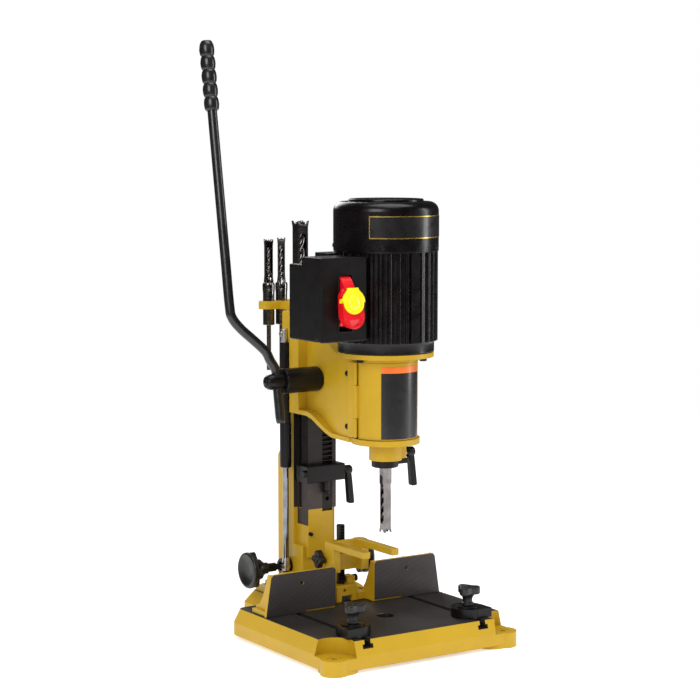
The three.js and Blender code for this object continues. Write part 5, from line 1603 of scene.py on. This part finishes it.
@dataclass
class Feed:
    """The pinion, its sleeve and the lever."""

    shop: Workshop
    hub_y: float = 143.0
    hub_z: float = 409.5
    lean: float = math.radians(9.5)
    inner_x: float = -109.5
    outer_x: float = -183.0
    rod: float = 7.6

    def build(self) -> None:
        """Makes every piece of the feed."""
        self.pinion()
        self.hub()
        self.lever()
        self.grip()

    def along(self, x: float, distance: float) -> Point:
        """A point on the leaning lever, a distance up from the hub."""
        return (x, self.hub_y + distance * math.sin(self.lean), self.hub_z + distance * math.cos(self.lean))

    def pinion(self) -> None:
        """The pinion on its shaft."""
        pitch = 2 * math.pi / 34
        outline = [(self.hub_y + u, self.hub_z + v) for u, v in toothed_ring(34, 39.4, 44.6, pitch / 2)]
        gear = Shape.prism(outline, Plane.YZ, (0.5, 19))
        shaft = Shape.rod((-46, self.hub_y, self.hub_z), (46, self.hub_y, self.hub_z), 11.9, 64, 0.8)
        neck = Shape.rod((-126, self.hub_y, self.hub_z), (-40, self.hub_y, self.hub_z), 9.5, 48)
        hole = Shape.rod(self.along(self.inner_x, -20), self.along(self.inner_x, 20), 8.4, 32)
        centre = Shape.rod((44, self.hub_y, self.hub_z), (48, self.hub_y, self.hub_z), 2.2, 24)
        self.shop.piece("pinion_shaft", gear.plus(shaft, neck).minus(hole, centre), Finish.STEEL, "feed",
                        Slot.STEEL, ["feed_pinion"])

    def hub(self) -> None:
        """The sleeve next to the head and the knob that holds the lever."""
        sleeve = Shape.turned([(9.8, -100), (18.4, -100), *arc((18.4, -98.4), 1.6, -90, 0, 4), (20, -36.4),
                               (18, -33.6), (12.6, -33.4), (12.6, -46.6), (9.8, -47.6)],
                              (0, self.hub_y, self.hub_z), Axis.X, 96)
        self.shop.piece("lever_sleeve", sleeve, Finish.BLACK_STEEL, "feed", Slot.BLACK, ["lever_hub"])
        knob = Shape.turned([(9.8, -128), (9.8, -101), (12, -101), (13, -102), (13, -117.5), (12.6, -121),
                             (11.5, -126), (9, -129.6), (6, -130.5), (0, -130.5), (0, -128)],
                            (0, self.hub_y, self.hub_z), Axis.X, 64)
        hole = Shape.rod(self.along(self.inner_x, -30), self.along(self.inner_x, 30), 8.2, 40)
        self.shop.piece("lever_end_knob", knob.minus(hole), Finish.BLACK_STEEL, "feed", Slot.BLACK,
                        ["hub_knob"])
        screw = button_screw(self.along(-122, 0), Axis.MINUS_X, 4.6).moved((-8.2, 0, 0))
        self.shop.piece("end_knob_screw", screw, Finish.BLACK_STEEL, "feed", Slot.BLACK)

    def lever(self) -> None:
        """The bent lever rod."""
        route = [(self.inner_x, -66), (self.inner_x, -30), (self.inner_x, 0), (self.inner_x - 0.5, 18),
                 (self.inner_x - 9, 34), (-126, 49), (-146, 68), (-166, 86), (self.outer_x + 3, 104),
                 (self.outer_x, 124), (self.outer_x, 200), (self.outer_x, 320), (self.outer_x, 520)]
        path = smooth_path([self.along(x, distance) for x, distance in route], 8)
        radii = [self.rod] * len(path)
        radii[0] = radii[-1] = self.rod * 0.8
        rod = Shape.swept(path, radii, 32)
        self.shop.piece("lever_bar", rod, Finish.GRIP, "feed", Slot.BLACK, ["lever_rod"], 50)

    def grip(self) -> None:
        """The ribbed grip at the lever's end."""
        low, bulge, count = 430.0, 21.4, 5
        bore = self.rod + 0.3
        profile: list[Flat] = [(bore, low)]
        for i in range(count):
            start = low + i * bulge
            for k in range(12):
                share = k / 12
                swell = math.sin(math.pi * share) ** 0.55
                profile.append((9.4 + 2.5 * swell, start + share * bulge))
        top = low + count * bulge
        profile += [(9.4, top), (9.0, top + 1.6), (7.6, top + 3.0), (4.4, top + 3.9), (0, top + 4),
                    (0, top - 8), (bore, top - 8)]
        grip = Shape.turned(profile, steps=56).turned_by(Quaternion((1, 0, 0), -self.lean))
        grip.moved((self.outer_x, self.hub_y, self.hub_z))
        self.shop.piece("lever_hand_grip", grip, Finish.GRIP, "feed", Slot.PLASTIC, ["lever_grip"], 60)


# ---------------------------------------------------------------------------------------------
# Fence, hold-down and stops
# ---------------------------------------------------------------------------------------------


@dataclass
class Fence:
    """The fence with its guide bar, hold-down post and fork."""

    shop: Workshop
    face: float = 85.0
    back: float = 91.0
    foot: float = 48.8
    top: float = 115.0
    inner: float = 37.0
    outer: float = 166.0
    taper: float = 9.6
    post_y: float = 128.0
    module: float = 1.5

    def build(self) -> None:
        """Makes every piece of the fence and the hold-down."""
        self.casting()
        self.bar()
        self.post()
        self.fork()
        self.star_knob()

    def wing(self) -> Shape:
        """The right wing with its webs and floor strip."""
        low, top = self.foot, self.top
        outline = [(self.inner, low + 3), (self.inner + 54, low + 3), (self.inner + 58, low),
                   (self.outer, low), (self.outer - self.taper, top - 4), (self.outer - self.taper - 4, top),
                   (self.inner + 4, top), (self.inner, top - 4)]
        plate = Shape.prism(outline, Plane.XZ, (self.face, self.back), 0.7, 2)
        web = [(88, low), (133, low), (133, 60), (127, 61.4), (121, 64), (112, 76), (104, 93), (97, top - 1),
               (88, top - 1)]
        webs = [Shape.prism(web, Plane.YZ, (x - 3, x + 3), 0.8, 2) for x in (153.4, 100, 40)]
        floor = Shape.block((self.inner, self.outer - 3), (88, 133), (low, 56), 0.8)
        bolt = Shape.rod((100, self.face - 2, 97), (100, self.back + 10, 97), 3.2, 24)
        return plate.plus(*webs, floor).minus(bolt)

    def casting(self) -> None:
        """Both wings and the block between them."""
        right = self.wing()
        left = right.mirrored()
        block = Shape.block((-20, 20), (109, 150), (self.foot, 76), 1.6, 3)
        bridge = Shape.block((-38, 38), (111, 134), (self.foot, 62), 1.4, 3)
        lug = Shape.block((8, 22), (118, 138), (70, 88), 2.2, 3)
        holes = [
            Shape.block((-9.9, 9.9), (100, 160), (40, 59)),
            Shape.block((-9.9, 9.9), (142, 160), (40, 70.9)),
            Shape.rod((0, self.post_y, 62), (0, self.post_y, 92), 7.05, 40),
            Shape.rod((-4, 100, 68), (-4, 123, 68), 2.6, 20),
            Shape.rod((7, self.post_y, 82), (32, self.post_y, 82), 3.6, 20),
        ]
        body = block.plus(bridge, lug, right, left).minus(*holes)

        def ground(middle: Vector, normal: Vector) -> bool:
            """Tells the two faces that the wood runs along."""
            return normal.y < -0.9 and middle.y < self.face + 0.5

        shape = body.faced(1, ground)
        self.shop.piece("fence_body", shape, [Finish.YELLOW, Finish.PLATE], "fence", Slot.YELLOW,
                        ["fence_casting"])
        for side, word in ((-1, "left"), (1, "right")):
            x = side * 100
            screw = Shape.rod((x, self.face + 1.4, 97), (x, self.back + 8, 97), 3.1, 24, 0.3)
            screw = screw.minus(Shape.block((x - 0.5, x + 0.5), (80, self.face + 2.2), (90, 104)))
            self.shop.piece(f"fence_face_screw_{word}", screw, Finish.BLACK_STEEL, "fence", Slot.BLACK)

    def bar(self) -> None:
        """The bar that the fence slides on, toothed behind."""
        outline = rack_outline((143, 278), self.foot, 70.5, self.module, 230)
        rack = Shape.prism(outline, Plane.YZ, (-9.6, 9.6))
        front = Shape.block((-9.6, 9.6), (113, 144), (self.foot, 58.7), 0.4)
        self.shop.piece("fence_guide_bar", rack.plus(front), Finish.STEEL, "fence", Slot.STEEL, ["guide_bar"])

    def post(self) -> None:
        """The round post with its strip of teeth, and the bolt that clamps it."""
        steps = [(-6.9, 62.3), (-6.9, 84)]
        pitch = math.pi * self.module
        z = 84.0
        while z < 170:
            steps += [(-2.2, z), (-5.2, z + 0.36 * pitch), (-5.2, z + 0.64 * pitch), (-2.2, z + pitch)]
            z += pitch
        steps += [(-2.2, 174), (-12, 174), (-12, 62.3)]
        round_bar = Shape.rod((0, self.post_y, 62.3), (0, self.post_y, 172), 6.7, 48, 0.9)
        strip = Shape.prism([(self.post_y + v, z) for v, z in steps], Plane.YZ, (-4, 4))
        self.shop.piece("holddown_column", round_bar.minus(strip), Finish.RACK, "fence", Slot.STEEL,
                        ["holddown_post"])
        head = Shape.rod((22.4, self.post_y, 82), (29.8, self.post_y, 82), 5.9, 32, 0.7)
        socket = Shape.prism([(self.post_y + u, 82 + v) for u, v in arc((0, 0), 3, 0, 300, 5)], Plane.YZ,
                             (26, 31))
        shank = Shape.rod((9, self.post_y, 82), (23, self.post_y, 82), 3.3, 24)
        bolt = head.plus(shank).minus(socket)
        self.shop.piece("post_clamp_bolt", bolt, Finish.BLACK_STEEL, "fence", Slot.STEEL, ["post_lock_bolt"])

    def fork(self) -> None:
        """The hold-down fork that straddles the chisel."""
        arm = rounded_rectangle((20, 34), (11, 40), 2.5)
        right = [
            Shape.block((20, 34), (13.5, 123), (139, 149.5)),
            Shape.prism([(x, y) for x, y in arm], Plane.XY, (139, 149.5)),
            Shape.block((20, 34), (97, 123), (101, 149.5)),
            Shape.block((-34, 34), (112, 118), (101, 126)),
            Shape.block((-20.5, 20.5), (112, 118), (101, 149.5)),
        ]
        left = [part.mirrored() for part in right[:3]]
        core = [
            Shape.block((-12, 12), (116, 140), (104, 146)),
            Shape.block((-34, -12), (118, 136), (112, 128)),
        ]
        solid = right[0].plus(*right[1:], *left, *core).rounded(1.1, 3, 40)
        holes = [
            Shape.rod((0, self.post_y, 90), (0, self.post_y, 160), 7.05, 40),
            Shape.rod((-40, self.post_y, 120), (-6.5, self.post_y, 120), 3.6, 20),
            Shape.block((-13, 13), (105, 123), (128, 137)),
        ]
        self.shop.piece("holddown_fork_body", solid.minus(*holes), Finish.YELLOW, "fork", Slot.YELLOW,
                        ["holddown_fork"])

    def star_knob(self) -> None:
        """The knob that clamps the fork to its post."""
        body = Shape.prism(lobed_ring(4, 12.2, 2.6, 0.0, 18), Plane.XY, (0, 11)).rounded(1.8, 3, 40)
        stem = Shape.rod((0, 0, -2.7), (0, 0, 1), 6, 32, 0.4)
        boss = Shape.turned([(0, 10.6), (6.4, 10.6), (5.2, 12.2), (0, 12.6)], steps=32)
        knob = body.plus(stem, boss).pointed(Axis.MINUS_X, (-36.3, self.post_y, 120))
        self.shop.piece("fork_knob_body", knob, Finish.KNOB, "fork_knob", Slot.PLASTIC, ["fork_star_knob"])
        stud = Shape.rod((-36, self.post_y, 120), (-7.4, self.post_y, 120), 3.3, 24, 0.4)
        self.shop.piece("fork_knob_stud", stud, Finish.ZINC, "fork_knob", Slot.STEEL)


@dataclass
class FenceDrive:
    """The cross shaft behind the fence with a hand knob at each end."""

    shop: Workshop
    y: float = 230.0
    z: float = 91.5
    reach: float = 100.0
    thick: float = 17.0
    radius: float = 28.4

    def build(self) -> None:
        """Makes the shaft and both knobs."""
        pitch = 2 * math.pi / 30
        gear = [(self.y + u, self.z + v) for u, v in toothed_ring(30, 20.7, 23.7, -math.pi / 2 + pitch / 2)]
        pinion = Shape.prism(gear, Plane.YZ, (-9, 9))
        shaft = Shape.rod((-91.6, self.y, self.z), (91.6, self.y, self.z), 5, 40, 0.5)
        collars = [Shape.rod((side * 62, self.y, self.z), (side * 78, self.y, self.z), 7.2, 40, 0.5)
                   for side in (-1, 1)]
        self.shop.piece("fence_drive_shaft", pinion.plus(shaft, *collars), Finish.BLACK_STEEL, "fence_drive",
                        Slot.BLACK, ["fence_pinion_shaft"])
        for word, axis, side in (("left", Axis.MINUS_X, -1), ("right", Axis.X, 1)):
            knob = self.knob().pointed(axis, (side * self.reach, self.y, self.z))
            self.shop.piece(f"fence_hand_knob_{word}", knob, Finish.KNOB, "fence_drive", Slot.PLASTIC,
                            [f"fence_knob_{word}"])

    def knob(self) -> Shape:
        """A knob with a round dished face, lobes behind it and a stepped neck, its face pointing up."""
        lobes = Shape.prism(lobed_ring(7, self.radius - 2.4, 3.4, 0.0, 14), Plane.XY, (0, self.thick - 4))
        face = [(0, 11), (8, 11.2), (14, 12.3), (19, 14), (23, 16), (25.4, 17), (27.4, 16.8), (29, 15.4),
                (29.6, 13.2), (29.4, 10.6), (27.6, 8.4), (0, 8.4)]
        neck = Shape.turned([(0, -22), (9.2, -22), (9.4, -21.8), (9.4, -14), (10.2, -13.4), (12.5, -12.6),
                             (12.5, -6), (14, -3), (17, 0.6), (0, 0.6)], steps=64)
        bore = Shape.rod((0, 0, -30), (0, 0, -8), 5.3, 32)
        dish = Shape.turned([*face[:6], (25.4, 20), (0, 20)], steps=96)
        return lobes.rounded(2.4, 3, 40).plus(Shape.turned(face, steps=96), neck).minus(bore, dish)


@dataclass
class EdgeStop:
    """A round stop in a T-slot of the table, with its knob."""

    shop: Workshop
    side: int
    x: float = 107.0
    y: float = -71.0
    seat: float = 48.8
    radius: float = 26.5

    @property
    def word(self) -> str:
        """Which side of the table it is on."""
        return "left" if self.side < 0 else "right"

    def build(self) -> None:
        """Makes the stop, its bolt and its knob."""
        at = (self.side * self.x, self.y, 0.0)
        disc = Shape.rod((0, 0, self.seat), (0, 0, 63.5), self.radius, 80)
        corner = Shape.block((0, self.radius + 0.5), (-self.radius - 0.5, 0), (self.seat, 63.5))
        if self.side < 0:
            corner = corner.mirrored()
        ring = Shape.rod((0, 0, 63), (0, 0, 65.5), 18, 64)
        bore = Shape.rod((0, 0, 40), (0, 0, 70), 4.4, 28)
        block = disc.plus(corner).rounded(1.3, 3, 40).plus(ring.rounded(0.6, 2, 40)).minus(bore).moved(at)
        body = f"edge_stop_{self.word}"
        self.shop.piece(f"stop_block_{self.word}", block, Finish.BLACK_STEEL, body, Slot.BLACK,
                        [f"edge_stop_{self.word}"])
        head = Shape.block((-8.6, 8.6), (-8.6, 8.6), (36, 41.2), 0.5)
        stud = Shape.rod((0, 0, 40), (0, 0, 92), 3.9, 28, 0.4)
        bolt = head.plus(stud).moved(at)
        self.shop.piece(f"stop_tee_bolt_{self.word}", bolt, Finish.ZINC, body, Slot.STEEL,
                        [f"stop_bolt_{self.word}"])
        lobes = Shape.prism(lobed_ring(3, 15.6, 4.2, math.pi / 2, 24), Plane.XY, (83, 95.5))
        lobes.rounded(2.6, 4, 40)
        neck = Shape.turned([(0, 66.3), (8.7, 66.3), (9, 66.6), (9, 70), (7.6, 71), (7.6, 76), (9, 79.6),
                             (12, 83.6), (0, 83.6)], steps=56)
        cap = Shape.turned([(0, 95), (7.8, 95), (7, 96.4), (4, 97.2), (0, 97.4)], steps=40)
        hole = Shape.rod((0, 0, 60), (0, 0, 92.4), 4.2, 28)
        knob = lobes.plus(neck, cap).minus(hole).moved(at)
        self.shop.piece(f"stop_hand_knob_{self.word}", knob, Finish.KNOB, f"stop_knob_{self.word}",
                        Slot.PLASTIC, [f"stop_knob_{self.word}"])


# ---------------------------------------------------------------------------------------------
# Studio
# ---------------------------------------------------------------------------------------------


@dataclass(frozen=True)
class SoftBox:
    """A rectangular light: its place and target from the spindle in metres, its size, its power in watts."""

    name: str
    place: Point
    target: Point
    width: float
    height: float
    power: float


SOFT_BOXES = (
    SoftBox("key box", (-2.4, -1.6, 1.9), (0, 0, 0.45), 1.5, 1.6, 46),
    SoftBox("right strip", (2.3, -1.3, 1.0), (0, 0, 0.5), 0.6, 1.9, 22),
    SoftBox("top box", (0.1, -0.2, 2.6), (0, 0.1, 0.4), 1.6, 1.6, 26),
    SoftBox("rear box", (0.6, 2.6, 1.6), (0, 0, 0.5), 1.4, 1.2, 18),
)


@dataclass
class Studio:
    """The camera, the pale floor and the soft lights."""

    shop: Workshop
    azimuth: float = -33.29
    elevation: float = 6.01
    lens: float = 101.69
    eye: Point = (-1.7102, -2.5041, 0.7851)
    floor_size: float = 2.2
    white: float = 0.8
    glow: float = 0.5
    fill: float = 0.5
    mirrored: float = 0.05

    def build(self) -> None:
        """Sets up the whole studio."""
        self.camera()
        self.floor()
        self.world()
        self.lights()
        bpy.context.scene.view_settings.view_transform = "Standard"

    def camera(self) -> None:
        """The camera at the viewing angle."""
        data = bpy.data.cameras.new("studio camera")
        data.lens = self.lens
        data.sensor_width = 36.0
        data.clip_end = 60.0
        camera = bpy.data.objects.new("studio camera", data)
        camera.location = self.shop.datum + Vector(self.eye)
        camera.rotation_euler = (math.radians(90 - self.elevation), 0, math.radians(self.azimuth))
        bpy.context.scene.collection.objects.link(camera)
        bpy.context.scene.camera = camera

    def floor(self) -> None:
        """A plain pale floor."""
        mesh = bmesh.new()
        bmesh.ops.create_grid(mesh, x_segments=1, y_segments=1, size=self.floor_size)
        data = bpy.data.meshes.new("studio_floor")
        mesh.to_mesh(data)
        mesh.free()
        floor = bpy.data.objects.new("studio_floor", data)
        bpy.context.scene.collection.objects.link(floor)
        recipe = Recipe("studio white")
        recipe.set(Base_Color=(self.white, self.white, self.white, 1), Roughness=0.85,
                   Specular_IOR_Level=0.15, Emission_Color=(1, 1, 1, 1), Emission_Strength=self.glow)
        data.materials.append(recipe.material)

    def world(self) -> None:
        """A white surround that lights the machine less than it shows to the camera."""
        world = bpy.data.worlds.new("studio")
        world.use_nodes = True
        tree = world.node_tree
        path = tree.nodes.new("ShaderNodeLightPath")
        seen = tree.nodes.new("ShaderNodeMapRange")
        seen.inputs["To Min"].default_value = self.fill
        seen.inputs["To Max"].default_value = self.mirrored
        tree.links.new(path.outputs["Is Glossy Ray"], seen.inputs["Value"])
        shown = tree.nodes.new("ShaderNodeMix")
        shown.inputs["B"].default_value = 1.0
        tree.links.new(path.outputs["Is Camera Ray"], shown.inputs["Factor"])
        tree.links.new(seen.outputs["Result"], shown.inputs["A"])
        background = tree.nodes["Background"]
        background.inputs["Color"].default_value = (1, 1, 1, 1)
        tree.links.new(shown.outputs["Result"], background.inputs["Strength"])
        bpy.context.scene.world = world

    def lights(self) -> None:
        """Soft boxes: a large one at the front left, a tall strip at the right, one above, one behind."""
        for box in SOFT_BOXES:
            data = bpy.data.lights.new(box.name, "AREA")
            data.shape = "RECTANGLE"
            data.size, data.size_y, data.energy = box.width, box.height, box.power
            lamp = bpy.data.objects.new(box.name, data)
            lamp.location = self.shop.datum + Vector(box.place)
            aim = self.shop.datum + Vector(box.target) - lamp.location
            lamp.rotation_euler = aim.to_track_quat("-Z", "Y").to_euler()
            bpy.context.scene.collection.objects.link(lamp)


def main() -> None:
    """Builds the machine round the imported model, one sub-assembly after another."""
    logging.basicConfig(level=logging.INFO, format="%(name)s: %(message)s")
    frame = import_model()
    shop = Workshop()
    Studio(shop).build()
    kinds = (Base, Column, ToolRack, GasStrut, DepthStop, Head, Motor, Spindle, SwitchBox, Feed, Fence,
             FenceDrive)
    for part in [*(kind(shop) for kind in kinds), EdgeStop(shop, -1), EdgeStop(shop, 1)]:
        LOG.info("building %s", type(part).__name__)
        part.build()
    kept = {
        Finish.COPPER: ["motor_stator"],
        Finish.STEEL: ["lower_bearing", "upper_bearing", "rotor_shaft"],
        Finish.FAN: ["cooling_fan"],
        Finish.BRASS: ["head_gib"],
    }
    for finish, names in kept.items():
        shop.keep(frame["nodes"], names, finish)
    LOG.info("made %d pieces", shop.count)


if __name__ == "__main__":
    main()
